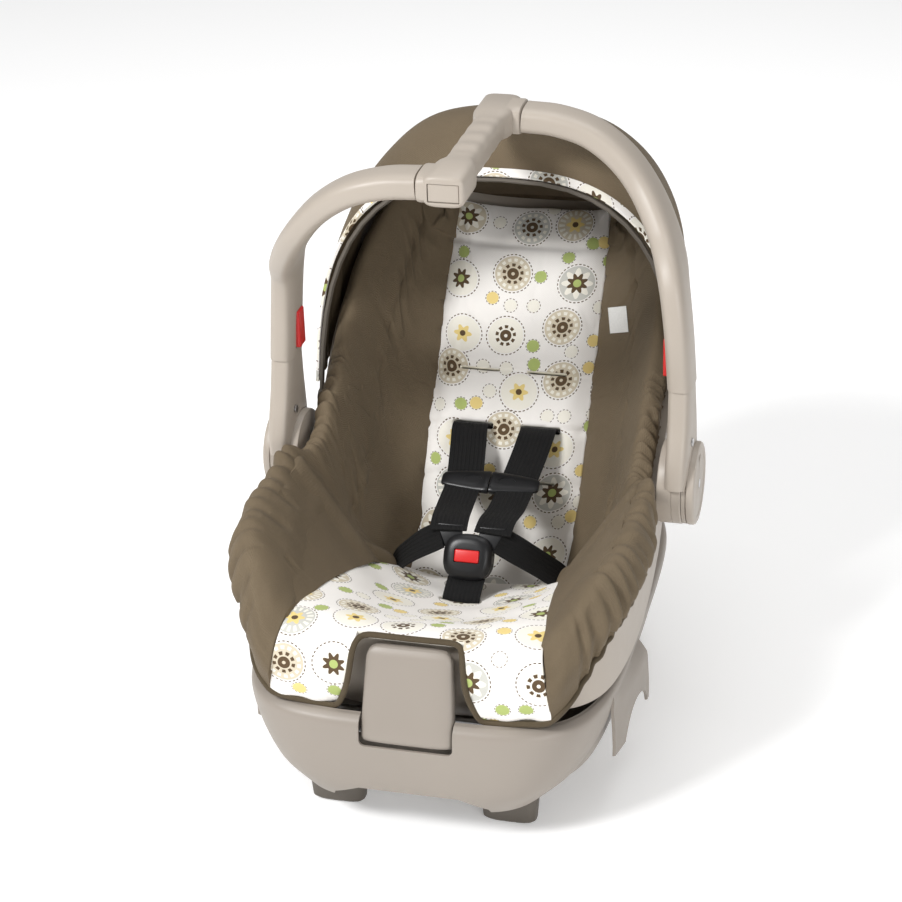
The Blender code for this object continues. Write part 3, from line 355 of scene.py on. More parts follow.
def block_bmesh(centre, size, bevel, turn, segments):
    """A box with its edges rounded where bevel isn't 0, turned and moved to its centre."""
    bm = bmesh.new()
    bmesh.ops.create_cube(bm, size=1.0, matrix=Matrix.Diagonal((*size, 1.0)))
    if bevel:
        bmesh.ops.bevel(bm, geom=bm.edges, offset=bevel, segments=segments, profile=0.5, affect="EDGES")
    bmesh.ops.transform(bm, verts=bm.verts,
                        matrix=Matrix.Translation(centre) @ (turn.to_4x4() if turn else Matrix()))
    return bm


def rounded_box(name, centre, size, material, body, bevel, turn=None, segments=4):
    """A block with rounded edges."""
    return finish_mesh(name, block_bmesh(centre, size, bevel, turn, segments), material, body)


def turned(name, profile, centre, material, body, axis="X", sign=1, sides=96, angle=30):
    """A turned shape: profile is a list of (distance along the axis, radius), closed at both ends."""
    rings = []
    for along, radius in profile:
        ring = []
        for i in range(sides):
            a = 2 * math.pi * i / sides
            local = (sign * along, radius * math.cos(a), radius * math.sin(a))
            if axis == "Z":
                local = (radius * math.cos(a), radius * math.sin(a), sign * along)
            ring.append(Vector(centre) + Vector(local))
        rings.append(ring)
    return loft(name, rings, material, body, angle=angle)


def cutter_box(name, centre, size, bevel=0.0, turn=None, segments=5):
    """A block that is cut away or joined on."""
    return finish_mesh(name, block_bmesh(centre, size, bevel, turn, segments), None, None)


def cutter_cylinder(name, centre, radius, length, sides=96):
    bm = bmesh.new()
    bmesh.ops.create_cone(bm, cap_ends=True, segments=sides, radius1=radius, radius2=radius, depth=length)
    place = Matrix.Translation(centre) @ Matrix.Rotation(math.pi / 2, 4, "Y")
    bmesh.ops.transform(bm, verts=bm.verts, matrix=place)
    return finish_mesh(name, bm, None, None)


def combine(target, others, operation="DIFFERENCE", solver="EXACT"):
    """Booleans applied at once; the other shapes are removed."""
    for other in others:
        joint = target.modifiers.new(other.name, "BOOLEAN")
        joint.operation = operation
        joint.solver = solver
        joint.object = other
    apply_modifiers(target)
    for other in others:
        bpy.data.objects.remove(other, do_unlink=True)


def apply_modifiers(thing):
    graph = bpy.context.evaluated_depsgraph_get()
    mesh = bpy.data.meshes.new_from_object(thing.evaluated_get(graph))
    thing.modifiers.clear()
    old = thing.data
    thing.data = mesh
    bpy.data.meshes.remove(old)


def soften(thing, width, angle=35, segments=3):
    """Rounds the sharp edges and keeps flat faces flat in shading."""
    edge = thing.modifiers.new("rounded", "BEVEL")
    edge.width = width
    edge.segments = segments
    edge.limit_method = "ANGLE"
    edge.angle_limit = math.radians(angle)
    edge.harden_normals = True


def replaces(piece, *nodes):
    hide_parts(*nodes)
    return piece

# ---------------------------------------------------------------- materials


def put(tree, value, socket):
    if isinstance(value, bpy.types.NodeSocket):
        tree.links.new(value, socket)
    else:
        socket.default_value = value


def add_node(tree, kind, inputs=(), **settings):
    node = tree.nodes.new(kind)
    for key, value in settings.items():
        setattr(node, key, value)
    for key, value in dict(inputs).items():
        put(tree, value, node.inputs[key])
    return node


def maths(tree, operation, *values):
    node = tree.nodes.new("ShaderNodeMath")
    node.operation = operation
    for socket, value in zip(node.inputs, values):
        put(tree, value, socket)
    return node.outputs[0]


def mixed(tree, share, low, high):
    """A colour between two, by share."""
    node = tree.nodes.new("ShaderNodeMix")
    node.data_type = "RGBA"
    put(tree, share, node.inputs[0])
    put(tree, low if isinstance(low, bpy.types.NodeSocket) else (*low, 1.0), node.inputs[6])
    put(tree, high if isinstance(high, bpy.types.NodeSocket) else (*high, 1.0), node.inputs[7])
    return node.outputs[2]


def noise_node(tree, vector, scale, detail=2.0):
    return add_node(tree, "ShaderNodeTexNoise", {"Vector": vector, "Scale": scale,
                                                 "Detail": detail}).outputs[0]


def start_material(name, colour, roughness, metallic=0.0):
    material = bpy.data.materials.new(name)
    material.use_nodes = True
    material.diffuse_color = (*colour, 1.0)
    tree = material.node_tree
    shader = tree.nodes["Principled BSDF"]
    shader.inputs["Base Color"].default_value = (*colour, 1.0)
    shader.inputs["Roughness"].default_value = roughness
    shader.inputs["Metallic"].default_value = metallic
    return material, tree, shader


def bump(tree, shader, height, strength, distance):
    node = add_node(tree, "ShaderNodeBump", {"Height": height, "Strength": strength, "Distance": distance})
    tree.links.new(node.outputs[0], shader.inputs["Normal"])


def plastic(name, colour, roughness, grain=1500, strength=0.25, specular=0.5):
    """A moulding: a fine grain, and a slight unevenness of colour and gloss."""
    material, tree, shader = start_material(name, colour, roughness)
    place = add_node(tree, "ShaderNodeTexCoord").outputs["Object"]
    broad = noise_node(tree, place, 9.0)
    dark = tuple(c * 0.95 for c in colour)
    light = tuple(min(1.0, c * 1.05) for c in colour)
    put(tree, mixed(tree, broad, dark, light), shader.inputs["Base Color"])
    put(tree, maths(tree, "MULTIPLY_ADD", noise_node(tree, place, 60.0), 0.12, roughness - 0.06),
        shader.inputs["Roughness"])
    shader.inputs["Specular IOR Level"].default_value = specular
    bump(tree, shader, noise_node(tree, place, grain), strength, 0.0002)
    return material


def weave_height(tree, uv, pitch):
    """Plain weave: threads over and under in a chequer of the given pitch."""
    parts = add_node(tree, "ShaderNodeSeparateXYZ", {"Vector": uv})
    waves = [maths(tree, "SINE", maths(tree, "MULTIPLY", parts.outputs[k], math.pi / pitch)) for k in (0, 1)]
    return maths(tree, "MULTIPLY", waves[0], waves[1])


def cloth_finish(tree, shader, uv, place, pitch, strength, sheen):
    """The weave, a little pile and broad soft creases as bump; sheen on top."""
    height = maths(tree, "ADD", weave_height(tree, uv, pitch),
                   maths(tree, "MULTIPLY", noise_node(tree, place, 320.0), 1.2))
    height = maths(tree, "ADD", height, maths(tree, "MULTIPLY", noise_node(tree, place, 48.0, 3.0), 5.0))
    bump(tree, shader, height, strength, 0.0003)
    shader.inputs["Sheen Weight"].default_value = sheen
    shader.inputs["Sheen Roughness"].default_value = 0.5
    shader.inputs["Specular IOR Level"].default_value = 0.14


def fabric(name, colour, pitch=0.0011, strength=0.55, sheen=0.15):
    material, tree, shader = start_material(name, colour, 0.62)
    uv = add_node(tree, "ShaderNodeUVMap").outputs[0]
    place = add_node(tree, "ShaderNodeTexCoord").outputs["Object"]
    tone = maths(tree, "ADD", maths(tree, "MULTIPLY", noise_node(tree, place, 14.0), 0.6),
                 maths(tree, "MULTIPLY", noise_node(tree, place, 700.0), 0.4))
    dark = tuple(c * 0.72 for c in colour)
    light = tuple(min(1.0, c * 1.28) for c in colour)
    put(tree, mixed(tree, tone, dark, light), shader.inputs["Base Color"])
    cloth_finish(tree, shader, uv, place, pitch, strength, sheen)
    return material


def webbing_material():
    """Woven nylon: ribs along the strap and a tight herringbone."""
    material, tree, shader = start_material("webbing", (0.012, 0.012, 0.014), 0.62)
    uv = add_node(tree, "ShaderNodeUVMap").outputs[0]
    parts = add_node(tree, "ShaderNodeSeparateXYZ", {"Vector": uv})
    rib = maths(tree, "SINE", maths(tree, "MULTIPLY", parts.outputs[0], 2 * math.pi / 0.0042))
    slant = maths(tree, "ADD", parts.outputs[1], maths(tree, "ABSOLUTE",
                                                       maths(tree, "PINGPONG", parts.outputs[0], 0.0021)))
    thread = maths(tree, "SINE", maths(tree, "MULTIPLY", slant, 2 * math.pi / 0.0016))
    height = maths(tree, "ADD", maths(tree, "MULTIPLY", rib, 1.4), thread)
    put(tree, mixed(tree, maths(tree, "MULTIPLY_ADD", thread, 0.5, 0.5), (0.003, 0.003, 0.0033),
                    (0.007, 0.007, 0.0075)),
        shader.inputs["Base Color"])
    bump(tree, shader, height, 0.7, 0.0004)
    shader.inputs["Sheen Weight"].default_value = 0.02
    shader.inputs["Specular IOR Level"].default_value = 0.25
    return material


def step_below(tree, value, limit):
    return maths(tree, "LESS_THAN", value, limit)


def band(tree, value, centre, half):
    """1 where value is within half of centre."""
    return maths(tree, "COMPARE", value, centre, half)


def both(tree, *shares):
    result = shares[0]
    for share in shares[1:]:
        result = maths(tree, "MULTIPLY", result, share)
    return result


def cells(tree, place, pitch, randomness):
    """Voronoi cells: radius and angle from the cell's centre, the centre, and a random colour per cell."""
    node = add_node(tree, "ShaderNodeTexVoronoi", {"Vector": place, "Scale": 1 / pitch,
                                                   "Randomness": randomness},
                    voronoi_dimensions="2D", feature="F1")
    local = add_node(tree, "ShaderNodeVectorMath", {0: place, 1: node.outputs["Position"]},
                     operation="SUBTRACT")
    parts = add_node(tree, "ShaderNodeSeparateXYZ", {"Vector": local.outputs[0]})
    radius = add_node(tree, "ShaderNodeVectorMath", {0: local.outputs[0]},
                      operation="LENGTH").outputs["Value"]
    angle = maths(tree, "ARCTAN2", parts.outputs[1], parts.outputs[0])
    pick = add_node(tree, "ShaderNodeSeparateColor", {"Color": node.outputs["Color"]})
    return radius, angle, node.outputs["Position"], pick.outputs


def spokes(tree, angle, count, share):
    """1 on each of count spokes round a centre, where a spoke takes this share of its step."""
    return step_below(tree, maths(tree, "FRACT", maths(tree, "MULTIPLY", angle, count / (2 * math.pi))),
                      share)


def flower_edge(tree, angle, petals, base, swing):
    return maths(tree, "MULTIPLY_ADD", maths(tree, "COSINE", maths(tree, "MULTIPLY", angle, petals)), swing,
                 base)


PRINT_PITCH, PRINT_RANDOMNESS = 0.0570, 0.42
DOT_PITCH, DOT_RADIUS = 0.0230, 0.0066
DISC_RADIUS, STITCH_RADIUS = 0.0190, 0.0208
CLEAR_OF_DISC = 0.0290


def print_material():
    """Off-white cloth with round medallions of rings, petals and rays, and small dots between them."""
    material, tree, shader = start_material("print_fabric", (0.86, 0.84, 0.78), 0.92)
    uv = add_node(tree, "ShaderNodeUVMap").outputs[0]
    place = add_node(tree, "ShaderNodeTexCoord").outputs["Object"]
    flat = add_node(tree, "ShaderNodeMapping", {"Vector": uv, "Location": (0.013, 0.021, 0)}).outputs[0]
    radius, angle, _, pick = cells(tree, flat, PRINT_PITCH, PRINT_RANDOMNESS)
    ground, beige, grey = (0.90, 0.872, 0.835), (0.640, 0.570, 0.440), (0.57, 0.565, 0.52)
    cream, brown = (0.86, 0.83, 0.74), (0.110, 0.072, 0.040)
    gold, green = (0.80, 0.63, 0.25), (0.42, 0.50, 0.17)

    colour = mixed(tree, noise_node(tree, place, 30.0), tuple(c * 0.97 for c in ground), ground)
    # small dots, only where a whole one fits between the medallions
    dot_radius, dot_angle, dot_centre, dot_pick = cells(tree, flat, DOT_PITCH, 0.60)
    home = add_node(tree, "ShaderNodeTexVoronoi", {"Vector": dot_centre, "Scale": 1 / PRINT_PITCH,
                                                   "Randomness": PRINT_RANDOMNESS},
                    voronoi_dimensions="2D", feature="F1")
    away = add_node(tree, "ShaderNodeVectorMath", {0: dot_centre, 1: home.outputs["Position"]},
                    operation="DISTANCE")
    free = maths(tree, "GREATER_THAN", away.outputs["Value"], CLEAR_OF_DISC)
    dot_colour = mixed(tree, step_below(tree, dot_pick[0], 0.45), green, gold)
    dot_colour = mixed(tree, step_below(tree, dot_pick[1], 0.30), dot_colour, cream)
    colour = mixed(tree, both(tree, free, step_below(tree, dot_radius, DOT_RADIUS)), colour, dot_colour)
    dash = spokes(tree, dot_angle, 12, 0.55)
    colour = mixed(tree, both(tree, free, band(tree, dot_radius, 0.0073, 0.0004), dash), colour, brown)

    # medallion disc, tinted per cell
    tint = mixed(tree, step_below(tree, pick[0], 0.45), grey, beige)
    tint = mixed(tree, step_below(tree, pick[1], 0.34), tint, cream)
    inside = step_below(tree, radius, DISC_RADIUS)
    colour = mixed(tree, inside, colour, tint)
    # the first motif: rays round a petalled heart
    rays = spokes(tree, angle, 16, 0.50)
    first = step_below(tree, pick[2], 0.36)
    colour = mixed(tree, both(tree, first, band(tree, radius, 0.0145, 0.0030), rays), colour, cream)
    heart = step_below(tree, radius, flower_edge(tree, angle, 6, 0.0080, 0.0020))
    colour = mixed(tree, both(tree, first, heart), colour, gold)
    colour = mixed(tree, both(tree, first, step_below(tree, radius, 0.0032)), colour, brown)
    # the second motif: nested petals
    second = maths(tree, "GREATER_THAN", pick[2], 0.68)
    petals = step_below(tree, radius, flower_edge(tree, angle, 8, 0.0138, 0.0030))
    colour = mixed(tree, both(tree, second, petals), colour, cream)
    petals = step_below(tree, radius, flower_edge(tree, angle, 8, 0.0092, -0.0022))
    colour = mixed(tree, both(tree, second, petals), colour, brown)
    colour = mixed(tree, both(tree, second, step_below(tree, radius, 0.0042)), colour, green)
    # the third motif: rings of dots
    third = both(tree, maths(tree, "GREATER_THAN", pick[2], 0.36), step_below(tree, pick[2], 0.68))
    for at, count, half in ((0.0150, 14, 0.0017), (0.0095, 9, 0.0017), (0.0040, 1, 0.0022)):
        beads = spokes(tree, angle, count, 0.55 if count > 1 else 2.0)
        colour = mixed(tree, both(tree, third, band(tree, radius, at, half), beads), colour,
                       cream if at > 0.01 else brown)
    # dashed outline round each medallion
    stitches = spokes(tree, angle, 30, 0.58)
    colour = mixed(tree, both(tree, band(tree, radius, STITCH_RADIUS, 0.00055), stitches), colour, brown)
    put(tree, colour, shader.inputs["Base Color"])
    cloth_finish(tree, shader, uv, place, 0.0009, 0.40, 0.08)
    return material


def steel_material():
    material, tree, shader = start_material("steel", (0.62, 0.62, 0.63), 0.30, 1.0)
    place = add_node(tree, "ShaderNodeTexCoord").outputs["Object"]
    brushed = noise_node(tree, add_node(tree, "ShaderNodeMapping", {"Vector": place,
                                                                    "Scale": (1, 12, 12)}).outputs[0],
                         120.0)
    put(tree, maths(tree, "MULTIPLY_ADD", brushed, 0.22, 0.20), shader.inputs["Roughness"])
    bump(tree, shader, brushed, 0.2, 0.0001)
    return material


def foam_material():
    material, tree, shader = start_material("foam", (0.90, 0.90, 0.89), 0.95)
    place = add_node(tree, "ShaderNodeTexCoord").outputs["Object"]
    beads = add_node(tree, "ShaderNodeTexVoronoi", {"Vector": place, "Scale": 320.0})
    put(tree, mixed(tree, beads.outputs["Distance"], (0.92, 0.92, 0.91), (0.78, 0.78, 0.76)),
        shader.inputs["Base Color"])
    bump(tree, shader, beads.outputs["Distance"], 0.6, 0.0006)
    return material


GREY = plastic("grey_plastic", (0.405, 0.355, 0.302), 0.42)
# The base and its lever take a darker copy of the same grey plastic: painted shade, since the base is less
# lit than the handle.
SHADED_BASE_GREY = plastic("grey_plastic_painted_shade", (0.290, 0.254, 0.218), 0.45)
DARK = plastic("dark_plastic", (0.100, 0.085, 0.068), 0.55, grain=900, strength=0.5)
BLACK = plastic("black_plastic", (0.008, 0.008, 0.009), 0.34, specular=0.4)
RED = plastic("red_plastic", (0.640, 0.018, 0.018), 0.32)
TAUPE = fabric("taupe_fabric", (0.150, 0.114, 0.072), sheen=0.04)
# A darker copy of the taupe cloth for the faces under the hood and the rear curtain: painted shade.
SHADED_TAUPE = fabric("taupe_painted_shade", (0.078, 0.057, 0.034), sheen=0.0)
PIPING = fabric("piping", (0.092, 0.070, 0.043), pitch=0.0008, strength=0.7, sheen=0.03)
PRINT = print_material()
WEBBED = webbing_material()
STEEL = steel_material()
FOAM = foam_material()
TAG = fabric("blank_tag", (0.80, 0.79, 0.76), pitch=0.0005, strength=0.3, sheen=0.05)
SLOTS = {"grey_plastic": GREY, "dark_plastic": DARK, "black_plastic": BLACK, "red_plastic": RED,
         "taupe_fabric": TAUPE, "print_fabric": PRINT, "webbing": WEBBED, "steel": STEEL, "foam": FOAM}

# ---------------------------------------------------------------- carrier shell


def shell_grid(s_range, span, rows, columns, inside):
    grid = []
    for r in range(rows):
        u = r / (rows - 1)
        s = s_range[0] + (s_range[1] - s_range[0]) * u
        grid.append([shell_point(s, span(u) * (2 * c / (columns - 1) - 1), inside(u, c / (columns - 1)))
                     for c in range(columns)])
    return grid


def level(depth):
    return lambda u, v: depth


def frame_turn(along, normal):
    """A rotation whose Y axis runs along a part and whose Z axis is its face's normal."""
    return Matrix((along.cross(normal), along, normal)).transposed()


BACK_ALONG = Vector((0, BACK_NORMAL.z, -BACK_NORMAL.y))
BACK_TURN = frame_turn(BACK_ALONG, BACK_NORMAL)
SPARE_SLOTS = (0.0600, -0.0560)


def back_slots():
    made = []
    for name, side in SIDES:
        slot = SLOT_POINT + Vector((side * SLOT_X, 0, 0)) - BACK_NORMAL * 0.0200
        made.append(cutter_box(f"slot_{name}", slot, (0.0430, 0.0075, 0.0900), 0.002, BACK_TURN))
        for lift in SPARE_SLOTS:
            place = slot + BACK_ALONG * lift
            made.append(cutter_box(f"spare_slot_{name}", place, (0.0430, 0.0030, 0.1100), 0.001, BACK_TURN))
    return made


def build_carrier_shell():
    rows = shell_grid((0, 1), lambda u: 1.0, 73, 65, level(0))
    bm = bmesh.new()
    grid = [[bm.verts.new(p) for p in row] for row in rows]
    for low, high in zip(grid, grid[1:]):
        for i in range(len(low) - 1):
            bm.faces.new((low[i], low[i + 1], high[i + 1], high[i]))
    shell = finish_mesh("shell_tub", bm, GREY, None)
    wall = shell.modifiers.new("wall", "SOLIDIFY")
    wall.thickness = SHELL_WALL
    wall.offset = -1.0
    wall.use_even_offset = True
    apply_modifiers(shell)
    combine(shell, back_slots())
    soften(shell, 0.0010)
    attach(shell, "carrier")
    replaces(shell, "carrier_shell")
    for name, side in SIDES:
        build_skirt(name, side)


def build_skirt(name, side):
    """The outer skirt along one side: it hangs from the rim and hides the tub's wall."""
    rings = []
    for k in range(57):
        rim, out = rim_out(0.045 + 0.855 * k / 56, side)
        bottom = max(rim.z - 0.085, 0.137) if rim.y < 0.0 else rim.z - 0.085 + 0.35 * rim.y
        ring = [rim + out * 0.0010, rim + out * SKIRT_OUT]
        foot = rim + out * SKIRT_OUT
        foot.z = bottom
        ring += [foot, foot - out * SHELL_WALL]
        ring += [rim + out * (SKIRT_OUT - SHELL_WALL) - UP * SHELL_WALL, rim + out * 0.0010 - UP * SHELL_WALL]
        rings.append(ring)
    skirt = loft(f"shell_skirt_{name}", rings, GREY, "carrier")
    soften(skirt, 0.0012)


# ---------------------------------------------------------------- padded cover


PROFILE = smooth_path([Vector(row) for row in SEAT_PROFILE], 561)


def panel_point(x_share, q):
    """A point on the seat panel: x_share from -1 to 1, q the share of the way from the bight to the hem."""
    y, centre, side, half = on_line(PROFILE, q)
    return Vector((x_share * half, y, centre + (side - centre) * x_share * x_share))


def wave(point, scale, seed=0.0):
    return noise.noise(Vector((point.x * scale + seed, point.y * scale, point.z * scale)))


def billow(thing, amount, scale, seed=0.0):
    """Soft unevenness of a stuffed piece, pushed along its normals."""
    mesh = thing.data
    normals = [v.normal.copy() for v in mesh.vertices]
    for vertex, normal in zip(mesh.vertices, normals):
        value = wave(vertex.co, scale, seed) + 0.45 * wave(vertex.co, scale * 2.3, seed + 7.0)
        vertex.co += normal * amount * value


def grid_normals(rows):
    """Unit normals of a grid of points, towards the side its UVs are on."""
    made = []
    for r, row in enumerate(rows):
        line = []
        for c in range(len(row)):
            along = rows[min(r + 1, len(rows) - 1)][c] - rows[max(r - 1, 0)][c]
            across = row[min(c + 1, len(row) - 1)] - row[max(c - 1, 0)]
            line.append(across.cross(along).normalized())
        made.append(line)
    return made


NOTCH_HALF, NOTCH_FLARE, NOTCH_BACK = 0.0505, 0.0680, -0.2835
NOTCH_SIDE = ((NOTCH_FLARE, 0.1290), (0.0665, 0.1345), (0.0618, 0.1450), (0.0570, 0.1580), (0.0535, 0.1760),
              (0.0520, 0.1900), (0.0505, 0.1985))


def notch_outline():
    """Half the lever notch, X and Z, from the hem up."""
    return smooth_path([Vector((x, 0, z)) for x, z in NOTCH_SIDE], 25)


def build_panel():
    """Seat and front flap: one padded panel from the bight, over the front edge, to the hem."""
    rows, columns = 121, 73
    upper = []
    for r in range(rows):
        q = r / (rows - 1)
        upper.append([panel_point(-1 + 2 * c / (columns - 1), q) for c in range(columns)])
    normals = grid_normals(upper)
    flip = -1 if normals[20][36].z < 0 else 1
    lower = []
    for r, row in enumerate(upper):
        line = []
        for c, point in enumerate(row):
            u, v = r / (rows - 1), c / (columns - 1)
            edge = min(1.0, 9 * min(v, 1 - v), 16 * (1 - u))
            normal = normals[r][c] * flip
            puff = 0.0022 * (math.sin(edge * math.pi / 2) - 1)
            hem = 0.0016 * math.sin(v * 46) * max(0.0, 6 * u - 5)
            fold = 0.0010 * math.sin(v * 19 + 3 * u) * math.sin(u * 11)
            upper[r][c] = point + normal * (puff + hem + fold + 0.0022 * wave(point, 24.0, 3.0))
            line.append(point - normal * (0.0075 - 0.0030 * min(1.0, 3 * max(0.0, u - 0.45))))
        lower.append(line)
    panel = slab("seat_panel", lower, upper, PRINT, None)
    outline = notch_outline()
    section = [(NOTCH_FLARE, 0.060)] + [(p.x, p.z) for p in outline] + [(NOTCH_HALF, 0.2300)]
    section += [(-x, z) for x, z in section[::-1]]
    rings = [[Vector((x, y, z)) for x, z in section] for y in (-0.345, NOTCH_BACK)]
    combine(panel, [loft("notch", rings, None, None)], solver="MANIFOLD")
    crotch = cutter_box("crotch_slot", Vector((0, CROTCH_Y, 0.130)), (0.0430, 0.0090, 0.0900), 0.002)
    combine(panel, [crotch], solver="MANIFOLD")
    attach(panel, "carrier")
    replaces(panel, "cover_seat", "cover_front_flap")
    return panel


def crown(thickness, edge=0.40):
    def depth(u, v):
        fall = min(1.0, 4.5 * min(u, 1 - u, v, 1 - v))
        return PAD_FROM + thickness * (edge + (1 - edge) * math.sin(fall * math.pi / 2))
    return depth


def build_back():
    """The padded back, with slots for the shoulder straps at two heights."""
    place = (BIGHT_S + 0.010, 0.955)

    def span(u):
        return panel_edge(place[0] + (place[1] - place[0]) * u)

    def depth(u, v):
        seams = 0.0
        for at in (0.18, 0.82):
            seams += 0.0035 * math.exp(-((u - at) / 0.012) ** 2)
        return crown(0.0230)(u, v) - seams

    rows, columns = 161, 73
    lower = shell_grid(place, span, rows, columns, level(PAD_FROM))
    upper = shell_grid(place, span, rows, columns, depth)
    back = slab("back_panel", lower, upper, PRINT, None)
    for vertex in back.data.vertices:
        pull = 0.0
        up_back = (vertex.co - SLOT_POINT).dot(BACK_ALONG)
        for lift in (0.0, *SPARE_SLOTS):
            near = up_back - lift + 0.0016 * math.sin(vertex.co.x * 60 + lift * 90)
            pull += (0.0030 * math.exp(-(near / 0.0030) ** 2)
                     - 0.0016 * math.exp(-((near - 0.010) / 0.008) ** 2))
        creases = max(0.0, 1 - abs(noise.noise(Vector((vertex.co.x * 26, up_back * 9, 2.0)))) * 7) ** 2
        vertex.co -= BACK_NORMAL * (pull + 0.0012 * creases)
    billow(back, 0.0022, 24.0, 5.0)
    combine(back, back_slots())
    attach(back, "carrier")
    replaces(back, "cover_back")
    return back


OUTER_COUNT, LINING_COUNT, STATIONS = 110, 20, 600
HUB_FOLD = -0.0300
RISE = ((-0.300, 0.040), (-0.075, 0.034), (-0.040, 0.027), (0.000, 0.033), (0.040, 0.034), (0.090, 0.030),
        (0.150, 0.026), (0.300, 0.016))


def hem_points(rim, out, widest, rise, hem, face):
    places = ((rise, -0.012), (rise * 0.85, widest * 0.6), (rise * 0.35, widest),
              (hem, min(widest, face + 0.004)),
              (hem - 0.0004, face), (hem + 0.0030, face - 0.0004))
    return [rim + Vector((0, 0, high)) + out * wide for high, wide in places]


def seat_height_at(x, y):
    """The seat panel's height beside the bolster."""
    best = min(PROFILE[:330], key=lambda row: abs(row[0] - y))
    return best[1] + (best[2] - best[1]) * min(1.0, abs(x) / best[3]) ** 2


def rim_section(s, side):
    """Outline of the bolster at one station: the outer cloth from seam to hem, then the lining back."""
    inner = panel_edge(s, 0.0)
    rim, out = rim_out(s, side)
    tuck = shell_point(s, side * (inner - 0.04), PAD_FROM + 0.002)
    seat = 0.0
    if s < BIGHT_S - 0.02:
        edge = shell_point(s, side * inner, PAD_FROM)
        seat = max(0.0, seat_height_at(edge.x, edge.y) - edge.z - 0.006)
    tuck.z += seat * 0.7
    outer = [tuck]
    steps = 6
    for k in range(steps):
        part = k / (steps - 1)
        t = inner + 0.015 + (0.93 - inner) * part
        point = shell_point(s, side * min(t, 0.985),
                            PAD_FROM + 0.026 * math.sin(math.pi * (0.16 + 0.56 * part)))
        point.z += seat * (1 - part)
        outer.append(point)
    rise = share_at(RISE, rim.y)[0]
    face = 0.0030 if rim.y > -0.056 else SKIRT_OUT + 0.0022
    widest = 0.0060 if rim.y > -0.056 else 0.0180
    outer += hem_points(rim, out, widest, rise, 0.0040, face)
    lining = [rim + Vector((0, 0, 0.0016)) - out * 0.004]
    for k in range(5):
        t = 0.93 - (0.93 - inner + 0.04) * k / 4
        lining.append(shell_point(s, side * t, PAD_FROM if t < 0.75 else 0.0030))
    return even_path(smooth_path(outer, 240), OUTER_COUNT), even_path(smooth_path(lining, 80), LINING_COUNT)


def corner_section(points, side):
    """The same round the front corner, from the four points of its section."""
    seam, top, bulge, hem = (mirrored(p, side) for p in points)
    outer = even_path(smooth_path([seam, top, bulge, hem], 240), OUTER_COUNT)
    inward = Vector((-side * 0.0045, 0.0055, -0.0035))
    lining = even_path([hem + inward * 0.5, bulge + inward, top + inward * 1.2, seam + inward * 1.2],
                       LINING_COUNT)
    return outer, lining


STATION_STEP, CLOTH_WIDTH = 1.2, 190.0      # millimetres between stations, and across the cloth
MOST_FOLD = 6.5                             # millimetres that a fold goes in, to stay above the foam
GATHERS_FROM, GATHERS_TO = 39, 308          # stations between which folds start at the elastic hem
ELASTIC_FROM, ELASTIC_TO = 33, 315          # stations between which the hem is drawn in
PIPED_FROM, PIPED_TO = 12, 312              # stations between which the hem is bound
BESIDE_BOW_Y = 0.020                        # behind this the canopy's bow passes close by
PIPING_RADIUS = 0.0029


def bolster_folds(side):
    """Folds in the bolster's cloth: start and end (along, across) in millimetres, half width and depth."""
    pick = random.Random(5 + side)
    folds = []
    at = GATHERS_FROM * STATION_STEP
    while at < GATHERS_TO * STATION_STEP:        # gathers at the elastic hem
        reach = 0.58 - 0.12 * pick.random() - (0.20 if len(folds) % 3 == 0 else 0.0) * pick.random()
        lean = 16 * (pick.random() - 0.5)
        folds.append((at, CLOTH_WIDTH * 1.02, at + lean, CLOTH_WIDTH * reach, 3.4 + 2.0 * pick.random(),
                      2.2 + 1.8 * pick.random()))
        at += 9.0 + 7.0 * pick.random()
    for k in range(7):                    # long folds that fan out from the hub
        turn = math.radians(-62 + 21 * k + 8 * pick.random())
        start = (255 * STATION_STEP + 10 * pick.random(), CLOTH_WIDTH * (0.86 - 0.02 * k))
        length = 60 + 55 * pick.random()
        folds.append((*start, start[0] - length * math.sin(turn), start[1] - length * math.cos(turn),
                      5.0 + 3.0 * pick.random(), 3.6 + 1.8 * pick.random()))
    for k in range(16):                   # short folds at the inner seam
        at = (60 + 31.5 * k + 12 * pick.random()) * STATION_STEP
        folds.append((at, 4.0, at + 30 * (pick.random() - 0.5), 34 + 34 * pick.random(),
                      4.5 + 3 * pick.random(),
                      1.6 + 1.2 * pick.random()))
    for k in range(9):                    # soft folds up the sides
        at = (322 + 30.0 * k + 15 * pick.random()) * STATION_STEP
        folds.append((at, 30 + 30 * pick.random(), at + 70 * (pick.random() - 0.3), 110 + 60 * pick.random(),
                      8 + 5 * pick.random(), 2.0 + 1.8 * pick.random()))
    return folds


def fold_depth(folds, along, across):
    """Sum of the folds at a place on the cloth: a valley with a low ridge to each side."""
    total = 0.0
    for x0, y0, x1, y1, half, depth in folds:
        if not min(x0, x1) - 3 * half < along < max(x0, x1) + 3 * half:
            continue
        dx, dy = x1 - x0, y1 - y0
        share = max(0.0, min(1.0, ((along - x0) * dx + (across - y0) * dy) / (dx * dx + dy * dy)))
        away = ((along - x0 - dx * share) ** 2 + (across - y0 - dy * share) ** 2) / (half * half)
        if away < 9:
            total -= 2.3 * depth * (1 - share) ** 0.55 * (1 - 0.75 * away) * math.exp(-away / 1.3)
    return max(total, -MOST_FOLD) * 0.001


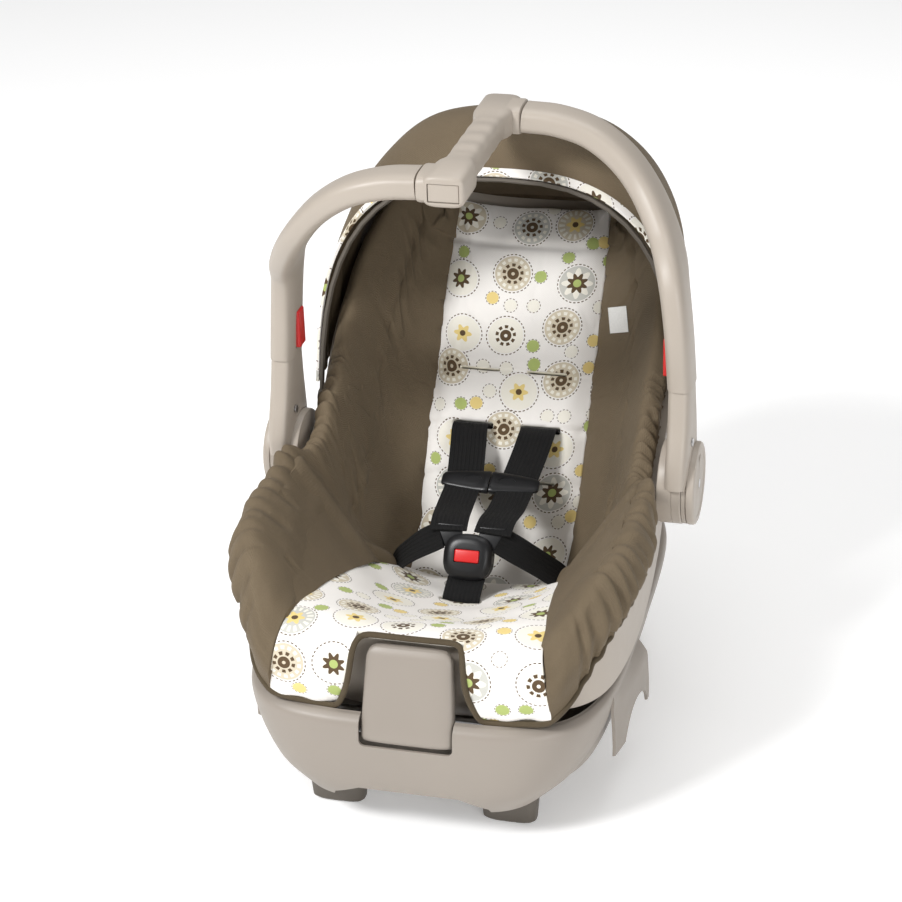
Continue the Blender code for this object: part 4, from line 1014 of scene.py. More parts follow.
def bolster_relief(point, k, share, hem_y, side, folds):
    """How far the bolster's cloth stands off its plain shape: stuffing, the fold by the hub, its folds."""
    stuffing = 0.0040 * wave(point, 14.0, 11.0 * side) + 0.0022 * wave(point, 34.0, 4.0)
    if point.y > BESIDE_BOW_Y:
        stuffing = (stuffing - 0.0012 * share) * (1 - 0.8 * share)
    fold_at = hem_y - HUB_FOLD - 0.030 * (share - 0.5)
    fold = -0.0150 * math.exp(-(fold_at / 0.0065) ** 2) * math.sin(math.pi * min(1.0, share * 1.1))
    lobe = (0.0040 * math.exp(-((fold_at + 0.034) / 0.022) ** 2)
            + 0.0045 * math.exp(-((fold_at - 0.030) / 0.018) ** 2))
    bend = 4.0 * wave(point, 20.0, 9.0)
    folded = fold_depth(folds, k * STATION_STEP + bend, share * CLOTH_WIDTH)
    if point.y > BESIDE_BOW_Y:
        folded = min(folded, 0.0004)
    gathered = ELASTIC_FROM < k < ELASTIC_TO
    hem = -0.0046 * math.exp(-((share - 0.955) / 0.014) ** 2) if gathered else 0.0
    seam = -0.0030 * math.exp(-(share / 0.05) ** 2)
    if gathered:                          # tight ruffles beside the elastic
        ruffle = math.sin(k * STATION_STEP + 2.0 * wave(point, 60.0, 3.0))
        hem += 0.0017 * ruffle * math.exp(-((1 - share) / 0.09) ** 2)
    return stuffing + fold + lobe * math.sin(math.pi * share) + folded + hem + seam


def build_bolster(name, side):
    """One side's bolster: round the front corner, over the rim, past the hub and up to the head end."""
    stations = [corner_section(points, side) for points in FRONT_SECTIONS]
    start = rim_share(-0.048)
    for k in range(18):
        stations.append(rim_section(start + (0.935 - start) * k / 17, side))
    rings = []
    for i in range(OUTER_COUNT):
        rings.append(smooth_path([outer[i] for outer, lining in stations], STATIONS))
    for i in range(LINING_COUNT):
        rings.append(smooth_path([lining[i] for outer, lining in stations], STATIONS))
    sections = [[ring[k] for ring in rings] for k in range(STATIONS)]
    folds = bolster_folds(side)
    for k, section in enumerate(sections):
        middle = sum(section, Vector()) / len(section)
        hem_y = section[OUTER_COUNT - 1].y
        for i in range(OUTER_COUNT):
            share = i / (OUTER_COUNT - 1)
            relief = bolster_relief(section[i], k, share, hem_y, side, folds)
            section[i] += (section[i] - middle).normalized() * relief
    bolster = loft(f"bolster_{name}", sections, TAUPE, "carrier", angle=70)
    replaces(bolster, f"cover_bolster_{name}")
    return [section[OUTER_COUNT - 1] for section in sections]


TAG_FROM = Vector((0.130, 0.040, 0.388))
TAG_TOWARDS = Vector((-0.165, 0.900, -0.402)).normalized()


def build_tag():
    """A small blank label sewn to the inside of the right bolster, laid on its cloth."""
    cloth = BVHTree.FromObject(bpy.data.objects["bolster_right"], bpy.context.evaluated_depsgraph_get())
    across = TAG_TOWARDS.cross(UP).normalized()
    across = (across + UP * 0.10).normalized()
    upward = across.cross(TAG_TOWARDS).normalized()
    low, high = [], []
    for r in range(13):
        under, over = [], []
        for c in range(9):
            start = TAG_FROM + across * (0.019 * (c / 8 - 0.5)) + upward * (0.027 * (r / 12 - 0.5))
            hit = cloth.ray_cast(start, TAG_TOWARDS)[0] or start + TAG_TOWARDS * 0.06
            under.append(hit - TAG_TOWARDS * 0.0008)
            over.append(hit - TAG_TOWARDS * 0.0018)
        low.append(under)
        high.append(over)
    slab("blank_tag", low, high, TAG, "carrier")


def hem_row():
    """The panel's hem from left to right."""
    return [panel_point(-1 + 2 * c / 80, 1.0) for c in range(81)]


def surface_at(x, z):
    """The point of the flap's face at this X and height."""
    best, least = None, 1.0
    for k in range(60, 121):
        q = 0.5 + 0.5 * (k - 60) / 60
        half = on_line(PROFILE, q)[3]
        point = panel_point(x / half, q)
        if abs(point.z - z) < least and point.y < NOTCH_BACK:
            best, least = point, abs(point.z - z)
    return best


def build_piping(left_hem, right_hem):
    """The bound edge: round both corners, along the hem and up over the lever's notch."""
    outline = notch_outline()
    hem = hem_row()
    left = [p for p in hem if p.x < -NOTCH_FLARE - 0.002]
    right = [p for p in hem if p.x > NOTCH_FLARE + 0.002]
    up = [Vector((x.x, surface_at(x.x, x.z).y - 0.0006, x.z)) for x in outline[1:]]
    top = [Vector((0.0470, NOTCH_BACK - 0.0012, 0.2018)), Vector((0.0400, NOTCH_BACK - 0.0010, 0.2022)),
           Vector((0.0, NOTCH_BACK - 0.0010, 0.2018))]
    right_side = up + top
    left_side = [Vector((-p.x, p.y, p.z)) for p in right_side]
    path = (left_hem[PIPED_TO:PIPED_FROM:-1] + left + left_side + right_side[::-1][1:] + right
            + right_hem[PIPED_FROM:PIPED_TO])
    path = even_path(path, 360)
    for _ in range(3):
        path = [path[0]] + [(a + 2 * b + c) / 4 for a, b, c in zip(path, path[1:], path[2:])] + [path[-1]]
    tube("front_piping", path, PIPING_RADIUS, PIPING, "carrier", sides=14)


# ---------------------------------------------------------------- canopy


def hoop_point(foot, top, t):
    """A point on an arch over the seat; t runs from -1 at the left foot to 1 at the right foot."""
    angle = abs(t) * math.pi / 2
    across = math.sin(angle) ** (2 / CANOPY_ROUND)
    up = math.cos(angle) ** (2 / CANOPY_ROUND)
    return Vector((math.copysign(foot[0] * across, t), foot[1] + (top[0] - foot[1]) * up,
                   foot[2] + (top[1] - foot[2]) * up))


def canopy_grid(rows, columns):
    feet = smooth_path([foot for foot, top in HOOPS], rows)
    tops = smooth_path([(0, *top) for foot, top in HOOPS], rows)
    return [[hoop_point(foot, (top.y, top.z), -1 + 2 * c / (columns - 1)) for c in range(columns)]
            for foot, top in zip(feet, tops)]


def paint_shade_inside(sheet):
    """The faces that look towards the seat take a darker copy of the taupe cloth: painted shade under the
    hood.
    """
    sheet.data.materials.append(SHADED_TAUPE)
    middle = Vector((0, 0.12, 0.30))
    for face in sheet.data.polygons:
        if face.normal.dot(middle - face.center) > 0:
            face.material_index = 1


HOOD_SEAM = 0.80      # share of the way back at which the hood is seamed


def build_canopy():
    """One stretched sheet over two bows: it dips a little between them and creases at its feet."""
    rows, columns = 73, 145
    inner = canopy_grid(rows, columns)
    normals = grid_normals(inner)
    flip = 1 if normals[30][72].z > 0 else -1
    outer = []
    for r, row in enumerate(inner):
        line = []
        for c, point in enumerate(row):
            u, t = r / (rows - 1), -1 + 2 * c / (columns - 1)
            span = (math.sin(math.pi * min(1.0, u / HOOD_SEAM)) if u < HOOD_SEAM
                    else math.sin(math.pi * (u - HOOD_SEAM) / 0.20) * 0.5)
            dip = -0.0042 * span * (0.55 + 0.45 * math.cos(t * math.pi / 2))
            crease = 0.0020 * abs(t) ** 3 * math.sin(u * 30 + 2 * t) * math.sin(math.pi * u)
            soft = 0.0018 * wave(point, 17.0, 2.0) * math.sin(math.pi * min(1.0, u * 1.1))
            seam = -0.0014 * math.exp(-((u - HOOD_SEAM) / 0.010) ** 2)
            normal = normals[r][c] * flip
            inner[r][c] = point + normal * (dip + crease + soft + seam)
            line.append(inner[r][c] + normal * 0.0016)
        outer.append(line)
    canopy = slab("canopy_cover", inner, outer, TAUPE, None)
    # the inward faces get the painted shade
    paint_shade_inside(canopy)
    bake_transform(canopy)
    replaces(canopy, "canopy_fabric")
    return canopy, inner, outer


CURTAIN_FOOT, CURTAIN_TOP = (0.1655, 0.1900, 0.3540), (0.3110, 0.4080)


def build_rear_curtain():
    """The canopy's hem behind the head end, down to the shell."""
    rows = []
    for k in range(9):
        row = []
        for c in range(97):
            t = -1 + 2 * c / 96
            drop = 0.004 * k * (1 - t ** 4)      # no depth at its ends, so that no corner hangs free
            row.append(hoop_point(CURTAIN_FOOT, CURTAIN_TOP, t) - Vector((0, drop * 0.25, drop)))
        rows.append(row)
    outward = [[p + Vector((p.x * 0.008, 0.0016, 0)) for p in row] for row in rows]
    curtain = slab("rear_curtain", rows, outward, TAUPE, "carrier")
    # the inward faces get the painted shade
    paint_shade_inside(curtain)
    return curtain


def build_canopy_trim(inner, outer):
    """A narrow printed binding folded over the canopy's front edge."""
    rings = []
    for c in range(len(inner[0])):
        low, high = inner[0][c], outer[0][c]
        back = (outer[3][c] - outer[0][c]).normalized()
        out = (high - low).normalized()
        ring = [low - back * 0.0016 - out * 0.0006, high - back * 0.0016 + out * 0.0010,
                high + back * 0.0035 + out * 0.0016, high + back * 0.0078 + out * 0.0008,
                high + back * 0.0078 - out * 0.0004, low + back * 0.0060 - out * 0.0008]
        rings.append(ring)
    trim = loft("canopy_trim", rings, PRINT, None, angle=60)
    soften(trim, 0.0006, segments=2)
    apply_modifiers(trim)
    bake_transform(trim)
    return trim


# ---------------------------------------------------------------- harness


def strap(name, points, node, wide=Vector((1, 0, 0)), width=WEBBING, thick=WEBBING_THICK, body="carrier"):
    path = smooth_path(points, 60)
    widths = wide if isinstance(wide, (list, tuple)) else [wide] * len(points)
    widths = smooth_path(widths, len(path))
    rings = []
    for k, point in enumerate(path):
        along = (path[min(k + 1, len(path) - 1)] - path[max(k - 1, 0)]).normalized()
        across = (widths[k] - along * widths[k].dot(along)).normalized()
        normal = along.cross(across)
        section = rounded_ring(width / 2, thick / 2, 6.0, 28)
        rings.append([point + across * a + normal * b for a, b in section])
    piece = loft(name, rings, WEBBED, body, angle=70)
    return replaces(piece, node)


BUCKLE_NORMAL = Vector((0, -BUCKLE_ALONG.z, BUCKLE_ALONG.y))
BUCKLE_TURN = frame_turn(BUCKLE_ALONG, BUCKLE_NORMAL)


def buckle_place(x, along, out):
    return BUCKLE_POINT + Vector((x, 0, 0)) + BUCKLE_ALONG * along + BUCKLE_NORMAL * out


def follow(piece):
    """The strap's placement is baked into its mesh; it is left on no body."""
    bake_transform(piece)


def build_straps():
    for name, side in SIDES:
        slot = SLOT_POINT + Vector((side * SLOT_X, 0, 0))
        clip = CLIP_POINT + Vector((side * 0.0280, 0, 0))
        low_end = buckle_place(side * 0.0225, 0.0300, 0.0046)
        points = [slot - BACK_NORMAL * 0.0480, slot - BACK_NORMAL * 0.0200, slot - BACK_NORMAL * 0.0020,
                  slot + BACK_NORMAL * 0.0050 - BACK_ALONG * 0.0070, Vector((side * 0.0330, 0.0700, 0.2170)),
                  clip]
        lower = [clip, Vector((side * 0.0265, -0.0100, 0.1945)), Vector((side * 0.0240, -0.0400, 0.1960)),
                 low_end]
        node = f"shoulder_strap_{name}"
        if side < 0:
            piece = strap(f"webbing_shoulder_{name}", points + lower[1:], node, body=None)
            follow(piece)
        else:
            upper = strap(f"webbing_shoulder_{name}", points, node, body=None)
            follow(upper)
            tail = strap("webbing_shoulder_right_low", lower, node, body=None)
            follow(tail)
        points = [buckle_place(side * 0.0300, 0.0250, 0.0022), Vector((side * 0.0520, -0.0560, 0.1700)),
                  Vector((side * 0.0720, -0.0440, 0.1500)), Vector((side * 0.0880, -0.0300, 0.1280)),
                  Vector((side * 0.0960, -0.0220, 0.1000))]
        first = BUCKLE_ALONG * side
        wide = [first, first, Vector((0.3 * side, 0.8, 0.4)) * side, Vector((0.3 * side, 0.8, 0.2)) * side,
                Vector((0.3 * side, 0.8, 0.1)) * side]
        piece = strap(f"webbing_lap_{name}", points, f"lap_strap_{name}", wide, width=0.0280, body=None)
        follow(piece)
    points = [Vector((0, CROTCH_Y, 0.0760)), Vector((0, CROTCH_Y, 0.1180)),
              Vector((0, CROTCH_Y + 0.0006, 0.1350)),
              Vector((0, CROTCH_Y + 0.0085, 0.1420)), buckle_place(0, -0.0150, 0)]
    strap("webbing_crotch", points, "crotch_strap")


def build_spring():
    """The coil under the buckle's button; in the real buckle it shortens as the button goes in."""
    coil = []
    for k in range(97):
        angle = 2 * math.pi * k / 24
        coil.append(buckle_place(0.0040 * math.cos(angle), 0.0060 + 0.0040 * math.sin(angle),
                                 -0.0014 + 0.0043 * k / 96))
    spring = tube("coil", coil, 0.0005, STEEL, "carrier", sides=8)
    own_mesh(spring)
    replaces(spring, "button_spring")


def build_buckle():
    rings = []
    for out, inset in ((-0.0100, 0.0046), (-0.0088, 0.0018), (-0.0060, 0.0), (0.0050, 0.0004),
                       (0.0080, 0.0028),
                       (0.0096, 0.0066), (0.0100, 0.0105)):
        section = rounded_ring(0.0250 - inset, 0.0235 - inset, 2.7, 64)
        rings.append([buckle_place(a, 0.0050 + b, out) for a, b in section])
    body = loft("buckle_case", rings, BLACK, None, angle=40)
    cutters = [cutter_box("well", buckle_place(0, 0.0060, 0.0070), (0.0260, 0.0134, 0.0180), 0.0012,
                          BUCKLE_TURN),
               cutter_box("mouth", buckle_place(0, 0.0220, 0), (0.0600, 0.0260, 0.0036), 0, BUCKLE_TURN)]
    combine(body, cutters)
    soften(body, 0.0006)
    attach(body, "carrier")
    replaces(body, "buckle_body")
    button = rounded_box("red_button", buckle_place(0, 0.0060, 0.0072), (0.0252, 0.0126, 0.0070), RED,
                         "button",
                         0.0018, BUCKLE_TURN, 5)
    replaces(button, "buckle_button")
    for name, side in SIDES:
        tongue = rounded_box(f"tongue_{name}", buckle_place(side * 0.0215, 0.0250, 0.0),
                             (0.0260, 0.0230, 0.0024),
                             BLACK, f"tongue_{name}", 0.0009, BUCKLE_TURN)
        replaces(tongue, f"buckle_tongue_{name}")


def build_chest_clip():
    """Two halves that meet over the breast bone: a lens shape with a raised latch in its middle."""
    along = Vector((0, 0.93, 0.36)).normalized()
    normal = Vector((0, -along.z, along.y))
    turn = frame_turn(along, normal)
    shape = ((0.0006, 0.0136, 0.0046), (0.0030, 0.0140, 0.0052), (0.0060, 0.0140, 0.0044),
             (0.0160, 0.0134, 0.0042),
             (0.0300, 0.0118, 0.0040), (0.0420, 0.0100, 0.0036), (0.0485, 0.0085, 0.0032),
             (0.0508, 0.0060, 0.0020))
    for name, side in SIDES:
        body = "clip_half" if side > 0 else "carrier"
        rings = []
        for x, half_deep, half_high in shape:
            middle = CLIP_POINT + Vector((side * x, 0, 0)) + normal * 0.0010
            section = rounded_ring(half_deep, half_high, 3.0, 40)
            rings.append([middle + along * a + normal * b for a, b in section])
        half = loft(f"clip_{name}", rings, BLACK, None, angle=50)
        centre = CLIP_POINT + Vector((side * 0.0257, 0, 0)) + normal * 0.0010
        cutters = [cutter_box("slit", centre - normal * 0.0010 + Vector((side * 0.0020, 0, 0)),
                              (0.0420, 0.0500, 0.0036), 0, turn)]
        dish = [centre + Vector((side * (a - 0.0080), 0, 0)) + along * b for a,
                b in rounded_ring(0.0090, 0.0052, 2.2, 32)]
        cutters.append(loft("dish", [[p + normal * h for p in dish] for h in (0.0034, 0.0080)], None, None))
        combine(half, cutters)
        soften(half, 0.0005)
        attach(half, body)
        replaces(half, f"chest_clip_{name}")


# ---------------------------------------------------------------- handle

SQUEEZE_X, SQUEEZE_Y, SQUEEZE_Z = 0.1854, 0.002, HUB.z + 0.1350
SQUEEZE_SIZE = (0.0060, 0.0180, 0.0390)
POCKET_X, POCKET_SIZE = 0.1880, (0.0170, 0.0192, 0.0402)


def handle_ring(centre, along, half_thick, half_depth, count=48, power=3.2):
    across = along.cross(Vector((0, 1, 0))).normalized()
    deep = across.cross(along).normalized()
    return [centre + across * a + deep * b for a, b in rounded_ring(half_thick, half_depth, power, count)]


def build_arm(name, side):
    points = [Vector((side * x, side * HANDLE_OFFSET * share, HUB.z + h)) for x, share, h in ARM_PATH]
    path = smooth_path(points, 97)
    rings = []
    for k, point in enumerate(path):
        along = (path[min(k + 1, len(path) - 1)] - path[max(k - 1, 0)]).normalized()
        if k == 0:
            along = Vector((0, 0, 1))
        depth = HANDLE_DEPTH * (1.10 - 0.12 * k / (len(path) - 1))
        rings.append(handle_ring(point, along, HANDLE_THICK / 2, depth / 2))
    arm = loft(f"arm_{name}", rings, GREY, None, angle=50)
    pocket = cutter_box(f"pocket_{name}", Vector((side * POCKET_X, SQUEEZE_Y, SQUEEZE_Z)), POCKET_SIZE,
                        0.0016)
    combine(arm, [pocket])
    soften(arm, 0.0007, angle=50)
    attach(arm, "handle")
    replaces(arm, f"handle_arm_{name}")


def build_leg(name, side):
    """The arm's sleeve: it straddles the drum in front and carries the outer disc."""
    places = ((0.2010, -0.0060, 0.0120, 0.0120, 0.0400), (0.2012, -0.0060, 0.0300, 0.0122, 0.0390),
              (0.2013, -0.0040, 0.0500, 0.0120, 0.0350), (0.2010, -0.0015, 0.0750, 0.0117, 0.0285),
              (0.2002, 0.0000, SLEEVE_END - 0.0002, 0.0114, 0.0228))
    keys = smooth_path([Vector(p[:4]) for p in places], 33)
    depths = smooth_path([Vector((p[4], 0, 0)) for p in places], 33)
    rings = []
    for (x, y, h, half), depth in zip(keys, depths):
        ring = rounded_ring(half, depth.x, 4.0, 64)
        rings.append([Vector((side * (x + a), y + b, HUB.z + h)) for a, b in ring])
    leg = loft(f"leg_{name}", rings, GREY, None, angle=50)
    drum_edge = DRUM_OUTER_X + 0.0004
    inner = cutter_cylinder("inner", (side * (0.15 + drum_edge) / 2, 0, HUB.z), HUB_RADIUS + 0.0007,
                            drum_edge - 0.15)
    outer = cutter_cylinder("outer", (side * (DISC_OUTER_X + 0.015), 0, HUB.z), HUB_RADIUS + 0.0005, 0.030)
    disc = cutter_cylinder("disc", (side * (drum_edge + DISC_OUTER_X) / 2, 0, HUB.z), HUB_RADIUS - 0.0006,
                           DISC_OUTER_X - drum_edge)
    combine(leg, [inner, outer])
    combine(leg, [disc], "UNION")
    leg.data.materials.clear()
    leg.data.materials.append(GREY)
    soften(leg, 0.0007, angle=45)
    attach(leg, "handle")
    replaces(leg, f"handle_leg_{name}")


def build_hub(name, side):
    """The fixed drum with its locating slot, and the cap with its rim, parting groove and dished face."""
    radius, length = HUB_RADIUS, DRUM_OUTER_X - DRUM_INNER_X
    profile = [(0, 0.001), (0, radius - 0.0025), (0.0006, radius - 0.0008), (0.0022, radius),
               (length * 0.60, radius),
               (length * 0.605, radius - 0.0006), (length * 0.63, radius - 0.0006), (length * 0.635, radius),
               (length - 0.0014, radius), (length - 0.0004, radius - 0.0008), (length, radius - 0.0020),
               (length, 0.001)]
    drum = turned(f"drum_{name}", profile, (side * DRUM_INNER_X, 0, HUB.z), GREY, "carrier",
                  sign=side)
    replaces(drum, f"hub_drum_{name}")
    thick = COVER_OUTER_X - DISC_OUTER_X - 0.0003
    profile = [(0, 0.001), (0, radius - 0.0010), (0.0008, radius), (thick - 0.0030, radius),
               (thick - 0.0010, radius - 0.0011), (thick, radius - 0.0034), (thick - 0.0003, radius - 0.0080),
               (thick - 0.0008, radius - 0.0086), (thick - 0.0008, 0.0095), (thick - 0.0004, 0.0085),
               (thick - 0.0004, 0.0052), (thick - 0.0034, 0.0050), (thick - 0.0034, 0.001)]
    cover = turned(f"cap_{name}", profile, (side * (DISC_OUTER_X + 0.0003), 0, HUB.z), GREY, None,
                   sign=side)
    slot_at = Vector((side * COVER_OUTER_X, 0.0, HUB.z + radius - 0.0125))
    combine(cover, [cutter_box("cap_slot", slot_at, (0.0040, 0.0120, 0.0026), 0.0008)])
    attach(cover, "handle")
    replaces(cover, f"hub_cover_{name}")


def build_grip():
    """The crosspiece with its moulded hand grip, a collar at each end and a blank badge recess."""
    height, end = HUB.z + ARM_PATH[-1][2], HANDLE_OFFSET + 0.0235
    rings = []
    keys = [(-end, 0.0165, 0.0125), (0.0012 - end, 0.0188, 0.0140), (0.0030 - end, 0.0200, 0.0150),
            (-0.076, 0.0200, 0.0150), (-0.070, 0.0188, 0.0147), (-0.062, 0.0158, 0.0137)]
    for y, half_x, half_z in keys:
        rings.append([Vector((a, y, height + b)) for a, b in rounded_ring(half_x, half_z, 4.0, 56)])
    for k in range(41):
        y = -0.056 + 0.112 * k / 40
        swell = 0.0006 * math.cos(2 * math.pi * k / 10)
        rings.append([Vector((a, y, height + b)) for a, b in
                      rounded_ring(0.0149, 0.0134 + (swell if abs(y) < 0.05 else 0.0), 3.4, 56)])
    for y, half_x, half_z in keys[::-1]:
        rings.append([Vector((a, -y, height + b)) for a, b in rounded_ring(half_x, half_z, 4.0, 56)])
    grip = loft("grip", rings, GREY, None, angle=50)
    collars = []
    for side in (-1, 1):
        ring_sets = []
        for x, inset in ((-0.0030, 0.0), (0.0235, 0.0), (0.0254, 0.0006), (0.0262, 0.0020)):
            ring = rounded_ring(HANDLE_DEPTH * 0.49 + 0.0016 - inset, HANDLE_THICK / 2 + 0.0018 - inset, 3.2,
                                48)
            ring_sets.append([Vector((side * x, side * HANDLE_OFFSET + a, height + b)) for a, b in ring])
        collars.append(loft(f"collar_{side}", ring_sets, None, None))
    combine(grip, collars, "UNION")
    combine(grip, [cutter_box("badge_recess", Vector((0, -end, height - 0.001)), (0.030, 0.006, 0.018),
                              0.0012)])
    grip.data.materials.clear()
    grip.data.materials.append(GREY)
    soften(grip, 0.0008, angle=50)
    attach(grip, "handle")
    replaces(grip, "handle_grip")
    badge = rounded_box("badge", Vector((0, 0.0018 - end, height - 0.001)), (0.0288, 0.0020, 0.0168), GREY,
                        "handle",
                        0.0009)
    replaces(badge, "grip_badge")


def build_release(name, side):
    lever = rounded_box(f"squeeze_{name}", Vector((side * SQUEEZE_X, SQUEEZE_Y, SQUEEZE_Z)), SQUEEZE_SIZE,
                        RED, f"squeeze_lever_{name}", 0.0018, segments=6)
    replaces(lever, f"release_lever_{name}")


# ---------------------------------------------------------------- base


def base_ring(z, half_width, front, back, count=192):
    middle, half = (front + back) / 2, (back - front) / 2
    return [Vector((a, middle + b, z)) for a, b in rounded_ring(half_width, half, BASE_SQUARE, count)]


def underside(levels):
    made = []
    for k, (z, half, front, back) in enumerate(levels):
        below, above = levels[max(k - 1, 0)], levels[min(k + 1, len(levels) - 1)]
        along = Vector((above[1] - below[1], above[0] - below[0])).normalized()
        inset, drop = along.y * BASE_WALL, -along.x * BASE_WALL
        made.append((z - drop, half - inset, front + inset, back - inset))
    return made[::-1]


def build_wing(name, side):
    inner, outer = [], []
    flares = [(-0.220, -0.003, 0), (-0.195, 0.002, 0), (-0.165, 0.006, 0), (-0.135, 0.009, 0),
              (-0.112, 0.010, 0)]
    for y, flare, _ in smooth_path(flares, 33):
        low, high = [], []
        for point in smooth_path([(0.1740, 0, 0.1270), (0.1775, 0, 0.1150), (0.1790, 0, 0.0950),
                                  (0.1800, 0, 0.0720),
                                  (0.1800, 0, 0.0560)], 21):
            share = max(0.0, min(1.0, (0.1270 - point.z) / 0.020))
            low.append(Vector((side * (point.x + flare * share - 0.0030), y, point.z - 0.001)))
            high.append(Vector((side * (point.x + flare * share), y, point.z)))
        inner.append(low)
        outer.append(high)
    return slab(f"wing_{name}", inner, outer, None, None)


ARCH_RADIUS = 0.0400
RECESS_POINT, RECESS_SIZE = Vector((0, -0.3150, 0.1364)), (0.0888, 0.0640, 0.0690)


def build_base():
    levels = [tuple(v) for v in smooth_path([Vector(row) for row in BASE_LEVELS], 53)]
    levels += [tuple(v) for v in smooth_path([Vector(row) for row in underside(BASE_LEVELS)], 40)]
    # the base body takes the darker grey: painted shade on the same plastic
    base = loft("base_body", [base_ring(*place) for place in levels], SHADED_BASE_GREY, None, closed=True)
    combine(base, [cutter_box("deck", Vector((0, -0.040, 0.0447)), (0.1500, 0.2300, 0.0022))], "UNION",
            "MANIFOLD")
    combine(base, [build_wing(name, side) for name, side in SIDES], "UNION", "MANIFOLD")
    cutters = [cutter_cylinder(f"arch_{name}", (side * 0.1860, -0.1560, 0.0430), ARCH_RADIUS, 0.0230)
               for name, side in SIDES]
    cutters.append(cutter_box("lever_recess", RECESS_POINT, RECESS_SIZE, 0.0055))
    rings = []
    for y in (-0.330, -0.250):
        rings.append([Vector((x, y, z)) for x, z in ((-0.048, 0.0520), (-0.074, 0.0390), (-0.080, 0.0200),
                                                    (0.080, 0.0200), (0.074, 0.0390), (0.048, 0.0520))])
    cutters.append(loft("bottom_notch", rings, None, None))
    combine(base, cutters, solver="MANIFOLD")
    base.data.materials.clear()
    base.data.materials.append(SHADED_BASE_GREY)
    soften(base, 0.0005, angle=65, segments=2)
    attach(base, "base")
    replaces(base, "base_shell")


FOOT_PLACES = (("front", 0.0840, -0.2600, 0.056), ("middle", 0.1060, -0.0850, 0.036),
               ("rear", 0.0720, 0.1120, 0.056))


def build_feet():
    for place, x, y, width in FOOT_PLACES:
        for name, side in SIDES:
            rings = []
            for z, wide, deep in ((0.0, 0.76, 0.014), (0.0008, 0.80, 0.016), (0.0040, 0.92, 0.022),
                                  (0.0300, 1.0, 0.026), (0.0425, 1.0, 0.026)):
                ring = rounded_ring(width / 2 * wide, deep / 2, 3.5, 48)
                rings.append([Vector((side * x + a, y + b, z)) for a, b in ring])
            foot = loft(f"pad_{place}_{name}", rings, DARK, None, angle=50)
            treads = [cutter_box(f"tread_{k}", Vector((side * x + (k - 1.5) * width * 0.2, y, 0.0)),
                                 (width * 0.05, 0.030, 0.0024)) for k in range(4)]
            combine(foot, treads)
            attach(foot, "base")
            replaces(foot, f"foot_{place}_{name}")


def build_base_lever():
    rows = ((0.1035, 0.0395, -0.3100, -0.3015), (0.1065, 0.0436, -0.3155, -0.2975),
            (0.1150, 0.0440, -0.3160, -0.2965), (0.1400, 0.0430, -0.3095, -0.2895),
            (0.1700, 0.0415, -0.3010, -0.2835), (0.1860, 0.0400, -0.2960, -0.2825),
            (0.1925, 0.0350, -0.2920, -0.2825), (0.1945, 0.0270, -0.2890, -0.2850))
    rings = []
    for z, half_x, front, back in smooth_path([Vector(row) for row in rows], 71):
        middle, half = (front + back) / 2, (back - front) / 2
        rings.append([Vector((a, middle + b, z)) for a, b in rounded_ring(half_x, half, 4.0, 72)])
    # the lever takes the darker grey as well: painted shade
    lever = loft("release_handle", rings, SHADED_BASE_GREY, None, angle=50)
    soften(lever, 0.0008, angle=45)
    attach(lever, "base_lever")
    replaces(lever, "base_release_lever")


# ---------------------------------------------------------------- plain nodes, stage and camera


def dress_nodes():
    """Finishes for the CAD nodes that stay as they are."""
    for name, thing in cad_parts.items():
        if thing.hide_render:
            continue
        slot_name = "steel"
        for word, choice in (("liner", "foam"), ("adjuster_strap", "webbing"),
                             ("harness_adjuster", "dark_plastic"),
                             ("bow", "dark_plastic"), ("mount", "grey_plastic")):
            if word in name:
                slot_name = choice
        for index in range(max(1, len(thing.material_slots))):
            if not thing.material_slots:
                thing.data.materials.append(None)
            thing.material_slots[index].link = "OBJECT"
            thing.material_slots[index].material = SLOTS[slot_name]


LIGHTS = (("key", (-1.9, -2.4, 3.0), 1.0, 138.0), ("fill", (2.0, -2.6, 1.3), 1.2, 34.0),
          ("top", (0.3, 0.9, 3.2), 2.4, 42.0))      # name, place, size in metres and power in watts
LIT_POINT = Vector((0, 0, 0.25))
FLOOR_GLOW, WORLD_LIGHT = 0.24, 0.32


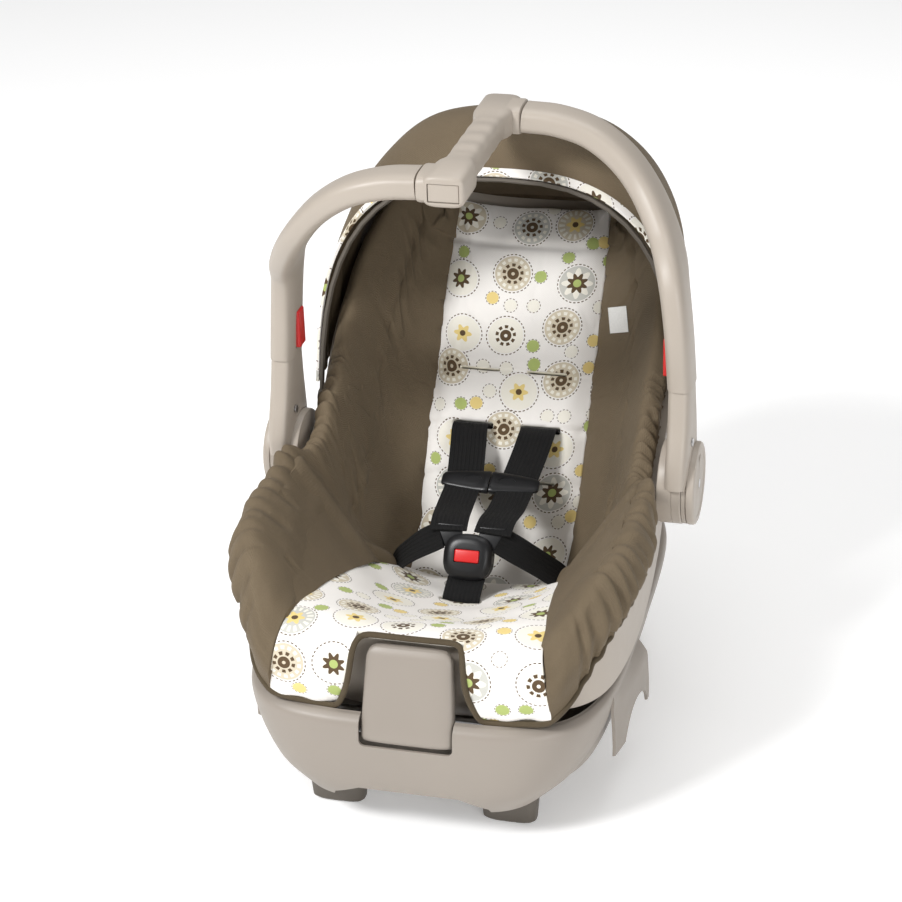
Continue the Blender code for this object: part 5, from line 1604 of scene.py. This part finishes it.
def build_stage():
    bm = bmesh.new()
    bmesh.ops.create_grid(bm, x_segments=1, y_segments=1, size=9.0)
    floor = finish_mesh("floor", bm, None, None)
    material, _, shader = start_material("floor_white", (0.92, 0.92, 0.92), 0.9)
    shader.inputs["Specular IOR Level"].default_value = 0.1
    shader.inputs["Emission Color"].default_value = (1.0, 1.0, 1.0, 1.0)
    shader.inputs["Emission Strength"].default_value = FLOOR_GLOW
    floor.data.materials.append(material)
    world = bpy.data.worlds.new("studio")
    bpy.context.scene.world = world
    world.use_nodes = True
    world.node_tree.nodes["Background"].inputs[0].default_value = (1.0, 1.0, 1.0, 1.0)
    world.node_tree.nodes["Background"].inputs[1].default_value = WORLD_LIGHT
    for name, place, size, power in LIGHTS:
        light = bpy.data.lights.new(name, "AREA")
        light.size = size
        light.energy = power
        lamp = bpy.data.objects.new(name, light)
        lamp.location = place
        lamp.rotation_euler = (LIT_POINT - Vector(place)).to_track_quat("-Z", "Y").to_euler()
        bpy.context.scene.collection.objects.link(lamp)
    bpy.context.scene.view_settings.view_transform = "Standard"


CAMERA_ANGLES = (15.0, 26.8, -1.85)             # degrees round, above and tilted
CAMERA_TARGET, CAMERA_AWAY, CAMERA_LENS = Vector((-0.0326, 0.0, 0.2482)), 2.335, 92.6


def build_camera():
    azimuth, elevation, roll = (math.radians(angle) for angle in CAMERA_ANGLES)
    forward = Vector((-math.sin(azimuth) * math.cos(elevation), math.cos(azimuth) * math.cos(elevation),
                      -math.sin(elevation)))
    right = Vector((math.cos(azimuth), math.sin(azimuth), 0))
    up = right.cross(forward)
    turned_right = right * math.cos(roll) + up * math.sin(roll)
    turned_up = up * math.cos(roll) - right * math.sin(roll)
    camera = bpy.data.objects.new("camera", bpy.data.cameras.new("camera"))
    turn = Matrix((turned_right, turned_up, -forward)).transposed()
    camera.matrix_world = Matrix.Translation(CAMERA_TARGET - forward * CAMERA_AWAY) @ turn.to_4x4()
    camera.data.lens = CAMERA_LENS
    camera.data.sensor_width = 36.0
    camera.data.clip_end = 60
    bpy.context.scene.collection.objects.link(camera)
    bpy.context.scene.camera = camera


def build():
    build_carrier_shell()
    build_panel()
    build_back()
    hems = {name: build_bolster(name, side) for name, side in SIDES}
    build_piping(hems["left"], hems["right"])
    build_tag()
    canopy, inner, outer = build_canopy()
    trim = build_canopy_trim(inner, outer)
    curtain = build_rear_curtain()
    build_straps()
    build_buckle()
    build_spring()
    build_chest_clip()
    for name, side in SIDES:
        build_arm(name, side)
        build_leg(name, side)
        build_hub(name, side)
        build_release(name, side)
    build_grip()
    build_base()
    build_feet()
    build_base_lever()
    dress_nodes()
    build_stage()
    build_camera()


build()
